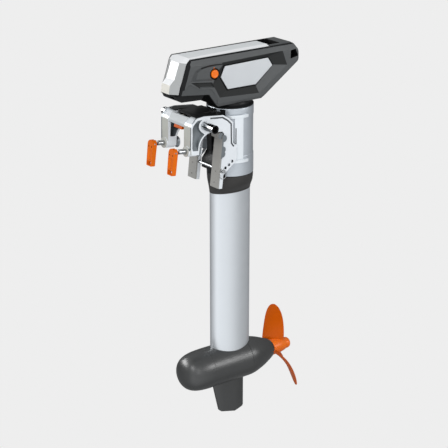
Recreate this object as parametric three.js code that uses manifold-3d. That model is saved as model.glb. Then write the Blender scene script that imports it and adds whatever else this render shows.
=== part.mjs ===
// Electric outboard motor on a transom clamp bracket, in millimetres.
// +Z is up, +X points aft (propeller side), -X forward into the boat, -Y is the port side.
// The origin is the middle of the seat that rests on the transom's top edge.
import * as THREE from 'three';
import { mergeVertices } from 'three/addons/utils/BufferGeometryUtils.js';
import Module from 'manifold-3d';

const wasm = await Module();
wasm.setup();

// ---- Driving dimensions -------------------------------------------------
const RAKE = THREE.MathUtils.degToRad(6.6); // the bracket leans aft with the transom
const GAP = 0.3; // between pieces that touch
const STEER_X = 118; // steering axis, aft of the seat

// Clamp bracket, in its own raked frame
const TILT = { x: -25.3, z: 19.9 }; // tilt tube axis
const TUBE_R = 12;
const TUBE_BORE_R = 8;
const TUBE_HALF = 122;
const ARM_OUT = 72; // outer face of an arm
const ARM_IN = 38; // inner face of an arm
const CHEEK_IN = 68; // inner face of the arm's outer cheek
const LEG_X = 44.7; // front of the leg, behind its pad
const LEG_LOW = -165;
const PAD_FACE_X = 40; // pad face against the transom
const ARCH_R = 40; // hook's inside, over the transom
const ARCH_X = 5;
const SEAT_T = 3;
const TRIM_R = 152; // trim holes' circle round the tilt axis
const TRIM_FIRST = THREE.MathUtils.degToRad(-60.7);
const TRIM_STEP = THREE.MathUtils.degToRad(5.25);
const TRIM_HOLES = 4;
const TRIM_PIN_R = 4;
const SCREW_Y = 53;
const SCREW_Z = -54;
const SCREW_R = 7;
const BOSS_R = 15;
const BOSS_FRONT = -68;
const BOSS_BACK = -36;
const PORT_BACKED_OFF = 3; // the port screw stands one turn further out
const HANDLE_X = -106; // handle's pivot, on the screw's front end
const HANDLE_LENGTH = 76;
const HANDLE_WIDTH = 30;
const HANDLE_THICK = 13;

// Swivel housing
const BARREL_R = 67;
const BARREL_TOP = 49;
const BARREL_LOW = -149;
const BARREL_BORE = 56;
const STEM_R = 50; // steering tube

// Shaft, pod and propeller
const SHAFT_A = 67; // half chord, along X
const SHAFT_B = 37; // half thickness
const SHAFT_WALL = 3;
const COLLAR_LOW = -206;
const POD_Z = -750;
const POD_R = 59.5;
const SADDLE_R = 60.2;
const SADDLE_BACK = 47;
const NOSE_JOINT = -92;
const NOSE_TIP = -178;
const TAIL_END = 152;
const DRIVE_R = 8;
const PROP_R = 145;
const HUB_END = 204;

// Battery head
const HEAD_HALF = 52;
const HEAD_FLOOR = 62;
const RIM_Y = 43; // white cover's edge
const HEAD_WALL = 4;
const HEAD_FRONT = -218;

// ---- Geometry helpers ---------------------------------------------------
function closed(geometry) {
  const g = geometry.index ? geometry.toNonIndexed() : geometry.clone();
  g.deleteAttribute('normal');
  g.deleteAttribute('uv');
  return mergeVertices(g, 1e-4);
}

function solid(geometry) {
  const g = closed(geometry);
  const mesh = new wasm.Mesh({
    numProp: 3,
    vertProperties: g.attributes.position.array,
    triVerts: new Uint32Array(g.index.array),
  });
  return new wasm.Manifold(mesh);
}

function geometryOf(manifold) {
  const m = manifold.getMesh();
  const points = new Float32Array(m.numVert * 3);
  for (let i = 0; i < m.numVert; i++) {
    points.set(m.vertProperties.subarray(i * m.numProp, i * m.numProp + 3), i * 3);
  }
  const g = new THREE.BufferGeometry();
  g.setAttribute('position', new THREE.BufferAttribute(points, 3));
  g.setIndex(new THREE.BufferAttribute(m.triVerts, 1));
  return g;
}

function join(first, ...others) {
  return geometryOf(others.reduce((sum, g) => sum.add(solid(g)), solid(first)));
}

function cut(first, ...others) {
  return geometryOf(others.reduce((rest, g) => rest.subtract(solid(g)), solid(first)));
}

function common(first, ...others) {
  return geometryOf(others.reduce((part, g) => part.intersect(solid(g)), solid(first)));
}

function shapeOf(outline) {
  if (outline instanceof THREE.Shape) return outline;
  return new THREE.Shape(outline.map(([u, v]) => new THREE.Vector2(u, v)));
}

function extrude(outline, depth, curveSegments = 16) {
  return new THREE.ExtrudeGeometry(shapeOf(outline), { depth, bevelEnabled: false, curveSegments });
}

// Outline in X and Z, extruded from y0 up to y1.
function prismY(outline, y0, y1, curveSegments) {
  return extrude(outline, y1 - y0, curveSegments).rotateX(Math.PI / 2).translate(0, y1, 0);
}

// Outline in Y and Z, extruded from x0 up to x1.
function prismX(outline, x0, x1, curveSegments) {
  const turn = new THREE.Matrix4().makeBasis(
    new THREE.Vector3(0, 1, 0),
    new THREE.Vector3(0, 0, 1),
    new THREE.Vector3(1, 0, 0),
  );
  return extrude(outline, x1 - x0, curveSegments).applyMatrix4(turn).translate(x0, 0, 0);
}

// Outline in X and Y, extruded from z0 up to z1.
function prismZ(outline, z0, z1, curveSegments) {
  return extrude(outline, z1 - z0, curveSegments).translate(0, 0, z0);
}

function box(x0, x1, y0, y1, z0, z1) {
  const g = new THREE.BoxGeometry(x1 - x0, y1 - y0, z1 - z0);
  return g.translate((x0 + x1) / 2, (y0 + y1) / 2, (z0 + z1) / 2);
}

// Turns a piece made round the Y axis to another axis.
function along(geometry, axis) {
  if (axis === 'x') return geometry.rotateZ(-Math.PI / 2);
  if (axis === 'z') return geometry.rotateX(Math.PI / 2);
  return geometry;
}

function rod(axis, radius, from, to, sides = 20) {
  const g = new THREE.CylinderGeometry(radius, radius, to - from, sides);
  return along(g.translate(0, (from + to) / 2, 0), axis);
}

// Profile points are [radius, place along the axis], from low to high.
function turned(axis, profile, sides = 32) {
  const points = profile.map(([r, s]) => new THREE.Vector2(r, s));
  return along(new THREE.LatheGeometry(points, sides), axis);
}

function ring(axis, inner, outer, from, to, sides = 24) {
  const profile = [[inner, from], [outer, from], [outer, to], [inner, to], [inner, from]];
  return turned(axis, profile, sides);
}

function ellipse(a, b, x = 0, y = 0) {
  return new THREE.Shape().absellipse(x, y, a, b, 0, Math.PI * 2, false, 0);
}

// Skin over rings of equal point counts, closed by a fan at each end.
function loft(rings) {
  const count = rings[0].length;
  const points = rings.flat();
  const faces = [];
  for (let i = 0; i < rings.length - 1; i++) {
    for (let j = 0; j < count; j++) {
      const a = i * count + j;
      const b = i * count + ((j + 1) % count);
      faces.push(a, b, a + count, b, b + count, a + count);
    }
  }
  const last = (rings.length - 1) * count;
  for (let j = 1; j < count - 1; j++) {
    faces.push(0, j + 1, j, last, last + j, last + j + 1);
  }
  const g = new THREE.BufferGeometry().setFromPoints(points);
  g.setIndex(faces);
  return g;
}

// ---- Scene graph --------------------------------------------------------
const motor = new THREE.Group();
const bracket = new THREE.Group(); // raked with the transom
bracket.rotation.y = RAKE;
const upright = new THREE.Group(); // about the steering axis
upright.position.x = STEER_X;
motor.add(bracket, upright);

const LOOKS = {
  castWhite: { color: 0xc9ccd0, roughness: 0.42, metalness: 0.55 },
  coverWhite: { color: 0xedefee, roughness: 0.38, metalness: 0 },
  silver: { color: 0xb9bec4, roughness: 0.34, metalness: 0.75 },
  shellGrey: { color: 0x46484a, roughness: 0.5, metalness: 0 },
  black: { color: 0x222325, roughness: 0.48, metalness: 0 },
  podGrey: { color: 0x3c3f40, roughness: 0.36, metalness: 0.1 },
  padGrey: { color: 0x8a8c8e, roughness: 0.6, metalness: 0.1 },
  steel: { color: 0xb4b8bc, roughness: 0.26, metalness: 0.95 },
  orange: { color: 0xe06a1a, roughness: 0.4, metalness: 0 },
  copper: { color: 0xb06a3a, roughness: 0.4, metalness: 0.9 },
  board: { color: 0x1f5a36, roughness: 0.6, metalness: 0 },
  nylon: { color: 0xd8d4c8, roughness: 0.5, metalness: 0 },
};

function add(group, name, geometry, look) {
  const mesh = new THREE.Mesh(geometry, new THREE.MeshStandardMaterial(LOOKS[look]));
  mesh.name = name;
  group.add(mesh);
  return mesh;
}

const SIDES = [['port', -1], ['starboard', 1]];

// A piece drawn on the starboard side, or turned over to the port side.
function sided(geometry, side) {
  if (side > 0) return geometry;
  const m = solid(geometry).mirror([0, 1, 0]);
  return geometryOf(m);
}

// ---- Clamp bracket ------------------------------------------------------
function archShape(radius, floor) {
  const s = new THREE.Shape();
  s.moveTo(ARCH_X - radius, floor);
  s.lineTo(ARCH_X - radius, -ARCH_R);
  s.absarc(ARCH_X, -ARCH_R, radius, Math.PI, Math.PI / 2, true);
  s.lineTo(LEG_X - 6, radius - ARCH_R);
  s.lineTo(LEG_X, radius - ARCH_R - 6);
  s.lineTo(LEG_X, floor);
  s.closePath();
  return s;
}

function trimHole(index) {
  const angle = TRIM_FIRST + TRIM_STEP * index;
  return { x: TILT.x + TRIM_R * Math.cos(angle), z: TILT.z + TRIM_R * Math.sin(angle) };
}

function arm() {
  const cheek = [
    [-60, -62], [-64, -46], [-70, 16], [-66, 26], [-54, 41], [-29, 46], [36, 46.5], [57, 36], [72, 25],
    [79, -34], [94, -47], [96, -84], [90, -93], [56, -126], [56, -158], [52, LEG_LOW],
    [LEG_X, LEG_LOW], [LEG_X, -62],
  ];
  const block = [
    [-60, -60], [-64, -46], [-70, 16], [-66, 24], [-53, 37.5], [-29, 42.2], [36, 42.6], [48, 36.5],
    [48, -8], [48, -60],
  ];
  const hollow = [
    [-60, 8], [-57, 20], [-48, 32], [-28, 36.5], [34, 37], [42, 32], [42, 6], [6, 6], [-20, 0], [-36, -18],
    [-41, -34], [-58, -34],
  ];
  const pieces = [
    prismY(cheek, CHEEK_IN - 1, ARM_OUT),
    prismY(block, ARM_IN, CHEEK_IN),
    box(LEG_X, LEG_X + 11, 36, ARM_OUT, LEG_LOW, -10),
  ];
  const cuts = [
    prismY(hollow, ARM_IN - 1, 62),
    prismY(archShape(ARCH_R, LEG_LOW - 5), 30, ARM_OUT + 1, 20),
  ];
  const tubeBoss = rod('y', TUBE_R + 5, ARM_IN, CHEEK_IN, 24).translate(TILT.x, 0, TILT.z);
  const screwBoss = rod('x', BOSS_R, BOSS_FRONT, BOSS_BACK, 22).translate(0, SCREW_Y, SCREW_Z);
  const tubeBore = rod('y', TUBE_R + GAP, 20, 90, 24).translate(TILT.x, 0, TILT.z);
  const screwBore = rod('x', SCREW_R + GAP, -90, -10, 18).translate(0, SCREW_Y, SCREW_Z);
  const pinBores = [];
  for (let i = 0; i < TRIM_HOLES; i++) {
    const hole = trimHole(i);
    pinBores.push(rod('y', TRIM_PIN_R + GAP, 20, 90, 12).translate(hole.x, 0, hole.z));
  }
  const body = cut(join(...pieces), ...cuts);
  return cut(join(body, tubeBoss, screwBoss), tubeBore, screwBore, ...pinBores);
}

function transomPad() {
  const plate = box(PAD_FACE_X, LEG_X - GAP, 36, ARM_OUT, LEG_LOW + 1, -13);
  const bumper = rod('y', 9, 37, ARM_OUT - 1, 20).translate(LEG_X - GAP - 9, 0, -13);
  const behind = box(LEG_X - GAP, LEG_X + 20, 20, 90, -30, 10);
  const above = box(20, 60, 20, 90, -0.5, 10);
  const below = box(20, PAD_FACE_X, 20, 90, -30, -20.5);
  return cut(join(plate, bumper), behind, above, below);
}

const armBody = arm();
const padBody = transomPad();
for (const [sideName, side] of SIDES) {
  add(bracket, `${sideName}_arm`, sided(armBody, side), 'castWhite');
  add(bracket, `${sideName}_transom_pad`, sided(padBody, side), 'padGrey');
  const capBand = [
    [-47, 39.4], [-29, 43], [36, 43.4], [47, 37.8], [49.5, 40.5], [36.5, 46.3], [-29.5, 45.8], [-49, 41.8],
  ];
  const cap = prismY(capBand, ARM_IN, CHEEK_IN - 1 - GAP);
  add(bracket, `${sideName}_arm_cap`, sided(cap, side), 'black');
}

const beam = [[-67.5, 10], [-69.5, 18], [-59.5, 37], [-54, 38], [-58, 24], [-60, 10]];
add(bracket, 'front_beam', prismY(beam, -ARM_IN + GAP, ARM_IN - GAP), 'castWhite');
add(bracket, 'seat_plate', box(-12, LEG_X - 2, -ARM_IN + GAP, ARM_IN - GAP, 0, SEAT_T), 'padGrey');

function tiltTube() {
  const tube = ring('y', TUBE_BORE_R, TUBE_R, -TUBE_HALF, TUBE_HALF, 24);
  const grooves = [];
  for (let i = 0; i < 6; i++) {
    for (const [from, to] of [[ARM_OUT + 3, TUBE_HALF - 3], [3 - TUBE_HALF, -ARM_OUT - 3]]) {
      const groove = box(TUBE_R - 1.2, TUBE_R + 2, from, to, -1.3, 1.3);
      grooves.push(groove.rotateY((i * Math.PI) / 3));
    }
  }
  return cut(tube, ...grooves);
}
const tube = add(bracket, 'tilt_tube', tiltTube(), 'silver');
tube.position.set(TILT.x, 0, TILT.z);

// ---- Trim pin and its pull ring -----------------------------------------
const pinPlace = trimHole(0);
const PIN_EYE_Y = -ARM_OUT - 7.5;
function trimPin() {
  const pin = turned('y', [
    [0, PIN_EYE_Y - 4.5], [4.6, PIN_EYE_Y - 4.5], [4.6, -ARM_OUT - 3], [6.5, -ARM_OUT - 2.6], [6.5, -ARM_OUT - GAP],
    [TRIM_PIN_R, -ARM_OUT - GAP], [TRIM_PIN_R, 77], [2, 80], [0, 80],
  ], 16);
  return cut(pin, rod('x', 2.2, -10, 10, 14).translate(0, PIN_EYE_Y, 0));
}
add(bracket, 'trim_pin', trimPin(), 'steel').position.set(pinPlace.x, 0, pinPlace.z);
const RING_R = 11;
const RING_WIRE = 1;
const pullRing = new THREE.TorusGeometry(RING_R, RING_WIRE, 6, 22).rotateX(Math.PI / 2);
add(bracket, 'trim_pin_ring', pullRing, 'steel').position.set(pinPlace.x, PIN_EYE_Y, pinPlace.z - RING_R);

// ---- Clamp screws -------------------------------------------------------
const SCREW_TIP = -26; // ball end, in the pad's cup
const SHANK_FRONT = HANDLE_X + 15; // clear of the handle's rounded end when it folds
const PAD_BACK = -31.5;
const PAD_FRONT = -21;
function clampScrew() {
  const shank = turned('x', [
    [0, SHANK_FRONT], [SCREW_R - 1, SHANK_FRONT], [SCREW_R, SHANK_FRONT + 1], [SCREW_R, -37], [4, -36],
    [4, -30.6], [5.8, -29.6], [4.6, -27], [0, SCREW_TIP],
  ], 16);
  const tongue = box(HANDLE_X - 5.5, SHANK_FRONT + 1, -3, 3, -5.5, 5.5);
  const eye = rod('y', 2.3, -10, 10, 16).translate(HANDLE_X, 0, 0);
  return cut(join(shank, tongue), eye);
}

function clampPad() {
  const cup = [
    [4.5, PAD_BACK], [9, PAD_BACK], [16, -24], [16, PAD_FRONT], [0, PAD_FRONT], [0, -24.6], [5.4, -26.4],
    [6.5, -29], [6.5, -30], [4.5, -30.6], [4.5, PAD_BACK],
  ];
  return turned('x', cup, 20);
}

function clampHandle() {
  const half = HANDLE_WIDTH / 2;
  const s = new THREE.Shape();
  s.moveTo(-half + 3, 12 - HANDLE_LENGTH);
  s.lineTo(half - 3, 12 - HANDLE_LENGTH);
  s.lineTo(half - 1.5, 15 - HANDLE_LENGTH);
  s.lineTo(half, -6);
  s.absarc(0, -3, half, 0, Math.PI, false);
  s.lineTo(-half, -6);
  s.lineTo(1.5 - half, 15 - HANDLE_LENGTH);
  s.closePath();
  const paddle = prismX(s, HANDLE_X - HANDLE_THICK / 2, HANDLE_X + HANDLE_THICK / 2, 8);
  const slot = box(HANDLE_X - 20, HANDLE_X + 20, -7, 7, 17 - HANDLE_LENGTH, 24 - HANDLE_LENGTH);
  const fork = box(HANDLE_X - 20, HANDLE_X + 20, -3.5, 3.5, -9.5, 20);
  const eye = rod('y', 2.4, -30, 30, 16).translate(HANDLE_X, 0, 0);
  const scoop = rod('z', 34, -60, -14, 36).translate(HANDLE_X - HANDLE_THICK / 2 - 32, 0, 0);
  return cut(paddle, slot, fork, eye, scoop);
}

for (const [sideName, side] of SIDES) {
  const screw = new THREE.Group();
  screw.position.set(side < 0 ? -PORT_BACKED_OFF : 0, SCREW_Y * side, SCREW_Z);
  bracket.add(screw);
  add(screw, `${sideName}_clamp_screw`, clampScrew(), 'steel');
  add(screw, `${sideName}_clamp_pad`, clampPad(), 'castWhite');
  add(screw, `${sideName}_clamp_handle`, clampHandle(), 'orange');
  const pivot = rod('y', 2, 1 - HANDLE_WIDTH / 2, HANDLE_WIDTH / 2 - 1, 16).translate(HANDLE_X, 0, 0);
  add(screw, `${sideName}_handle_pin`, pivot, 'steel');
}

// ---- Tilt lock lever, under the front beam ------------------------------
const LEVER = { x: -46, z: 8.2 };
const LEVER_HALF = 19;
function lockLever() {
  const hub = rod('y', 4.5, -LEVER_HALF, LEVER_HALF, 20);
  const bladeOutline = [[-20, -8], [-19, 1], [-12, 1.5], [-2, 1.5], [0, -4.4], [-10, -8]];
  const blade = prismY(bladeOutline, -22, 14);
  const finger = prismY([[0, -4.4], [4, -2], [7, 3], [5, 5.5], [2, 4.4]], -5, 5);
  return cut(join(hub, blade, finger), rod('y', 2.3, -30, 30, 16));
}
const lever = add(bracket, 'tilt_lock_lever', lockLever(), 'orange');
lever.position.set(LEVER.x, 0, LEVER.z);
const leverPin = add(bracket, 'lock_lever_pin', rod('y', 2, -ARM_IN + GAP, ARM_IN - GAP, 16), 'steel');
leverPin.position.set(LEVER.x, 0, LEVER.z);

// ---- Swivel housing -----------------------------------------------------
const tiltAxis = new THREE.Vector3(TILT.x, 0, TILT.z).applyAxisAngle(new THREE.Vector3(0, 1, 0), RAKE);
tiltAxis.x -= STEER_X;
const BUSH_R = TUBE_R + 2.4;
const LUG_R = 16.2;
const LUG_IN = 22;
const LUG_OUT = 34;

// Part ring standing proud of the barrel, between two angles.
function strap(z0, z1, from, to) {
  const s = new THREE.Shape();
  s.absarc(0, 0, BARREL_R + 3.5, from, to, false);
  s.absarc(0, 0, BARREL_R - 4, to, from, true);
  s.closePath();
  return prismZ(s, z0, z1, 6);
}

function swivelHousing() {
  const barrel = turned('z', [
    [0, BARREL_LOW], [BARREL_R - 1, BARREL_LOW], [BARREL_R, BARREL_LOW + 1.5], [BARREL_R, -92],
    [BARREL_R - 1.2, -90], [BARREL_R - 1.2, 20], [BARREL_R, 22], [BARREL_R, BARREL_TOP - 1.5],
    [BARREL_R - 1, BARREL_TOP], [0, BARREL_TOP],
  ], 36);
  const reach = tiltAxis.x;
  const lugOutline = [
    [reach, tiltAxis.z - LUG_R + 2], [reach + 20, tiltAxis.z - LUG_R + 2], [-64, 4], [-58, -40], [-50, -40],
    [-50, 40], [-70, 43], [reach + 14, tiltAxis.z + LUG_R - 0.7], [reach, tiltAxis.z + LUG_R - 2],
  ];
  const thrustFace = -77.4;
  const thrust = prismY([[thrustFace, -106], [thrustFace, -132], [-50, -145], [-50, -70]], -30.5, 30.5);
  const rearRib = prismY([[-50, -60], [-71, -80], [-72, -40], [-68, -12], [-50, -5]], -9, 9);
  const parts = [barrel, thrust, rearRib];
  const cuts = [rod('z', BARREL_BORE, BARREL_LOW - 1, BARREL_TOP + 1, 36)];
  for (const side of [-1, 1]) {
    const near = side > 0 ? LUG_IN : -LUG_OUT;
    const far = side > 0 ? LUG_OUT : -LUG_IN;
    parts.push(prismY(lugOutline, near, far));
    parts.push(rod('y', LUG_R, near, far, 24).translate(tiltAxis.x, 0, tiltAxis.z));
    const middle = (side * Math.PI) / 2;
    for (const [z0, z1] of [[22, 31], [-108, -99]]) {
      parts.push(strap(z0, z1, middle - 0.62, middle + 0.62));
    }
  }
  cuts.push(rod('y', BUSH_R + GAP, -60, 60, 24).translate(tiltAxis.x, 0, tiltAxis.z));
  return cut(join(...parts), ...cuts);
}
add(upright, 'swivel_housing', swivelHousing(), 'silver');

for (const [sideName, side] of SIDES) {
  const from = side > 0 ? LUG_IN : -LUG_OUT;
  const bush = ring('y', TUBE_R + GAP, BUSH_R, from, from + LUG_OUT - LUG_IN, 24);
  add(upright, `${sideName}_tilt_bush`, bush, 'nylon').position.copy(tiltAxis);
}

// Hood round the tilt tube, running back to the barrel.
function bracketHood() {
  const outer = 24.5;
  const inner = 18.5;
  const front = THREE.MathUtils.degToRad(123); // stops short of the lock lever at full tilt
  const s = new THREE.Shape();
  s.absarc(tiltAxis.x, tiltAxis.z, outer, front, Math.PI / 2, true);
  s.lineTo(-74, 47);
  s.lineTo(-70, 44);
  s.lineTo(-74, 43.6);
  s.lineTo(tiltAxis.x + 15, tiltAxis.z + inner);
  s.absarc(tiltAxis.x, tiltAxis.z, inner, Math.PI / 2, front, false);
  s.closePath();
  const hood = prismY(s, -35, 35, 10);
  const clear = rod('z', BARREL_R + GAP, 0, 80, 40);
  return cut(hood, clear);
}
add(upright, 'bracket_hood', bracketHood(), 'black');

const bushProfile = (z0, z1) => ring('z', STEM_R + GAP, BARREL_BORE - GAP, z0, z1, 32);
add(upright, 'upper_steering_bush', bushProfile(24, BARREL_TOP - 0.5), 'nylon');
add(upright, 'lower_steering_bush', bushProfile(BARREL_LOW + 0.5, -126), 'nylon');

// ---- Steered column -----------------------------------------------------
add(upright, 'steering_tube', ring('z', STEM_R - 5, STEM_R, -175, 52, 32), 'silver');

function collar() {
  const sections = [
    [-149.6, 66, 66], [-153, 66.4, 66.4], [-176, 66, 62], [-192, 66.8, 48], [COLLAR_LOW + 4, 67.6, 38.6],
    [COLLAR_LOW, 67.4, 38],
  ];
  const count = 32;
  const rings = sections.map(([z, a, b]) => {
    const pts = [];
    for (let i = 0; i < count; i++) {
      const t = (-2 * Math.PI * i) / count;
      pts.push(new THREE.Vector3(a * Math.cos(t), b * Math.sin(t), z));
    }
    return pts;
  });
  const spigot = prismZ(ellipse(SHAFT_A - SHAFT_WALL - GAP, SHAFT_B - SHAFT_WALL - GAP), -232, -200, 14);
  const socket = rod('z', STEM_R + GAP, -175 - GAP, -100, 32);
  const duct = rod('z', 14, -300, -100, 18);
  return cut(join(loft(rings), spigot), socket, duct);
}
add(upright, 'shaft_collar', collar(), 'black');

const podAxis = new THREE.Vector3(0, 0, POD_Z);
function shaftTube() {
  const s = ellipse(SHAFT_A, SHAFT_B);
  s.holes.push(new THREE.Path().absellipse(0, 0, SHAFT_A - SHAFT_WALL, SHAFT_B - SHAFT_WALL, 0, Math.PI * 2, true, 0));
  const tubeBody = prismZ(s, POD_Z + 30, COLLAR_LOW - GAP, 16);
  return cut(tubeBody, rod('x', SADDLE_R + GAP, -200, 200, 48).translate(0, 0, POD_Z));
}
add(upright, 'shaft_tube', shaftTube(), 'silver');
add(upright, 'motor_cable', rod('z', 5, POD_Z + 56, 46, 12), 'black');

// ---- Pod ----------------------------------------------------------------
function podHousing() {
  const step = POD_R - 1.6;
  const body = turned('x', [
    [0, NOSE_JOINT], [step, NOSE_JOINT], [step, SADDLE_BACK], [POD_R, SADDLE_BACK + 0.5], [58.6, 62], [54.9, 80],
    [46.6, 107], [36.6, 131], [26.5, TAIL_END - 2], [25, TAIL_END], [0, TAIL_END],
  ], 36);
  const bellyBack = SADDLE_BACK + 0.2;
  const belly = box(NOSE_JOINT, bellyBack, -90, 90, -90, 1);
  const lower = common(rod('x', POD_R, NOSE_JOINT, bellyBack, 36), belly);
  const inside = turned('x', [
    [0, NOSE_JOINT - 5], [50, NOSE_JOINT - 5], [50, -80], [53, -79], [53, 62], [46.5, 84], [30, 120],
    [DRIVE_R + 4, 128], [DRIVE_R + 4, TAIL_END + 5], [0, TAIL_END + 5],
  ], 28);
  const foot = prismZ(ellipse(SHAFT_A - SHAFT_WALL - GAP, SHAFT_B - SHAFT_WALL - GAP), 45, 76, 14);
  const cableWay = rod('z', 7, 0, 100, 20);
  return cut(join(body, lower, foot), inside, cableWay).translate(0, 0, POD_Z);
}
add(upright, 'pod_housing', podHousing(), 'podGrey');

function saddleCover() {
  const band = ring('x', POD_R - 1.6 + GAP, SADDLE_R, NOSE_JOINT + GAP, SADDLE_BACK - GAP, 36);
  const upper = box(-200, 200, -90, 90, 1 + GAP, 90);
  const hole = prismZ(ellipse(SHAFT_A - SHAFT_WALL, SHAFT_B - SHAFT_WALL), 0, 90, 18);
  return cut(common(band, upper), hole).translate(0, 0, POD_Z);
}
add(upright, 'saddle_cover', saddleCover(), 'podGrey');

function noseCone() {
  const length = NOSE_JOINT - NOSE_TIP;
  const profile = [[0, NOSE_TIP]];
  const steps = 7;
  for (let i = 1; i <= steps; i++) {
    const t = i / steps;
    const s = 1 - t;
    profile.push([POD_R * Math.pow(1 - Math.pow(s, 2.15), 1 / 2.05), NOSE_TIP + length * t * (0.35 + 0.65 * t)]);
  }
  profile[steps][1] = NOSE_JOINT - GAP;
  profile.push([49.6, NOSE_JOINT - GAP], [49.6, NOSE_JOINT + 8], [40, NOSE_JOINT + 8], [40, NOSE_JOINT]);
  profile.push([50, NOSE_JOINT - 5], [47, -112], [40, -132], [30, -148], [16, -162], [0, -168]);
  return turned('x', profile, 36).translate(0, 0, POD_Z);
}
add(upright, 'nose_cone', noseCone(), 'podGrey');

function skeg() {
  const s = new THREE.Shape();
  s.moveTo(-66, -52);
  s.lineTo(-40, -152);
  s.quadraticCurveTo(-38, -158, -32, -159);
  s.lineTo(15, -171);
  s.lineTo(47, -164);
  s.lineTo(50, -160);
  s.lineTo(50, -50);
  s.closePath();
  const half = 6.5;
  const blade = prismY(s, -half, half, 6);
  const section = [
    [-70, 0], [-62, 2.6], [-50, 4.6], [-30, half], [20, half], [42, 4], [51, 1.2], [51, -1.2], [42, -4], [20, -half],
    [-30, -half], [-50, -4.6], [-62, -2.6],
  ];
  const shaped = common(blade, prismZ(section, -200, 0));
  return cut(shaped, rod('x', POD_R + GAP, -120, 120, 48)).translate(0, 0, POD_Z);
}
add(upright, 'skeg', skeg(), 'podGrey');

function inPod(name, geometry, look) {
  add(upright, name, geometry, look).position.copy(podAxis);
}
inPod('stator', ring('x', 36, 52.4, -45, 45, 28), 'copper');
inPod('front_bearing', ring('x', DRIVE_R + GAP, 17, -72, -62, 20), 'steel');
inPod('rear_bearing', ring('x', DRIVE_R + GAP, 17, 66, 76, 20), 'steel');
inPod('front_bearing_plate', ring('x', 17 + GAP, 52.4, -74, -60, 28), 'castWhite');
inPod('rear_bearing_plate', ring('x', 17 + GAP, 48.5, 64, 72, 28), 'castWhite');
inPod('shaft_seal', ring('x', DRIVE_R + GAP, DRIVE_R + 4 - GAP, 134, 148, 18), 'black');

// ---- Propeller and drive shaft ------------------------------------------
inPod('drive_shaft', cut(
  turned('x', [[0, -76], [DRIVE_R, -76], [DRIVE_R, HUB_END - 1], [DRIVE_R - 2, HUB_END], [DRIVE_R - 2, HUB_END + 12],
    [0, HUB_END + 12]], 24),
  rod('z', 2.4, -20, 20, 14).translate(166, 0, 0),
), 'steel');
inPod('rotor', ring('x', DRIVE_R + GAP, 35, -42, 42, 28), 'steel');
inPod('drive_pin', rod('z', 2, -16, 16, 12).translate(166, 0, 0), 'steel');

const BLADES = 3;
const BLADE_START = THREE.MathUtils.degToRad(3.5);
const BLADE_ROOT_R = 15;
const PITCH_ADVANCE = 270; // travel per turn
const BLADE_CHORD = 68;
const BLADE_X = 163; // middle of the blade along the shaft
const ROOT_BACK = 11; // the root sits this much further aft, on the hub
const BLADE_BOW = 7; // the middle of a blade bows aft and ahead by this much
// Sections from root to tip, each a closed airfoil wrapped round the axis.
function bladeRings() {
  const stations = 9;
  const around = 6;
  const rings = [];
  for (let i = 0; i < stations; i++) {
    const t = i / (stations - 1);
    const r = BLADE_ROOT_R + (PROP_R - BLADE_ROOT_R) * t;
    const root = Math.max(0, 1 - t / 0.22);
    const bow = BLADE_BOW * Math.sin(Math.PI * t);
    const fullness = Math.max(Math.pow(1 - Math.pow(t, 3), 0.5), 0.03);
    const chord = BLADE_CHORD * (1 - 0.5 * root) * fullness;
    const thick = 5.4 * (1 - 0.72 * t);
    const pitch = Math.atan(PITCH_ADVANCE / (2 * Math.PI * Math.max(r, 34)));
    const ring = [];
    for (let k = 0; k < 2 * around; k++) {
      const u = k <= around ? k / around : (2 * around - k) / around;
      const side = k < around ? 0.5 : -0.5;
      const c = (u - 0.5) * chord;
      const h = side * thick * Math.sin(Math.PI * Math.pow(u, 0.8));
      const axial = c * Math.sin(pitch) - h * Math.cos(pitch) + bow + ROOT_BACK * root;
      const swing = c * Math.cos(pitch) + h * Math.sin(pitch) - bow;
      const angle = -swing / Math.max(r, 24);
      ring.push(new THREE.Vector3(axial, r * Math.sin(angle), r * Math.cos(angle)));
    }
    rings.push(ring);
  }
  return rings;
}

function propeller() {
  const hub = turned('x', [
    [DRIVE_R + GAP, 154.5], [22, 154.5], [24.5, 158], [24, 180], [21, 198], [19, HUB_END], [DRIVE_R + GAP, HUB_END],
    [DRIVE_R + GAP, 154.5],
  ], 30);
  const blades = [];
  for (let i = 0; i < BLADES; i++) {
    const turn = BLADE_START + (i * 2 * Math.PI) / BLADES;
    blades.push(loft(bladeRings()).translate(BLADE_X, 0, 0).rotateX(turn));
  }
  const bore = rod('x', DRIVE_R + GAP, 140, 240, 24);
  const pinWay = rod('z', 2.3, -17, 17, 14).translate(166, 0, 0);
  return cut(join(hub, ...blades), bore, pinWay);
}
inPod('propeller', propeller(), 'orange');
inPod('propeller_nut', turned('x', [
  [0, HUB_END + 13], [DRIVE_R - 2 + GAP, HUB_END + 13], [DRIVE_R - 2 + GAP, HUB_END + GAP],
  [16, HUB_END + GAP], [17, HUB_END + 3], [16.4, HUB_END + 15], [12, HUB_END + 20], [0, HUB_END + 21.5],
], 22), 'orange');

// ---- Neck and battery head ----------------------------------------------
function neck() {
  const flange = turned('z', [
    [0, BARREL_TOP + 3.6], [STEM_R + 1, BARREL_TOP + 3.6], [STEM_R + 1, BARREL_TOP + GAP], [BARREL_R - 1, BARREL_TOP + GAP],
    [BARREL_R, BARREL_TOP + 1.2], [BARREL_R, BARREL_TOP + 3.2], [60, BARREL_TOP + 5], [56, HEAD_FLOOR - GAP],
    [0, HEAD_FLOOR - GAP],
  ], 36);
  return cut(flange, rod('z', 8, 30, 90, 20));
}
add(upright, 'head_neck', neck(), 'black');
const CONTACT = { x: 24, y: 14, top: 78 };
add(upright, 'contact_block', box(-CONTACT.x, CONTACT.x, -CONTACT.y, CONTACT.y, HEAD_FLOOR, CONTACT.top), 'nylon');

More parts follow.
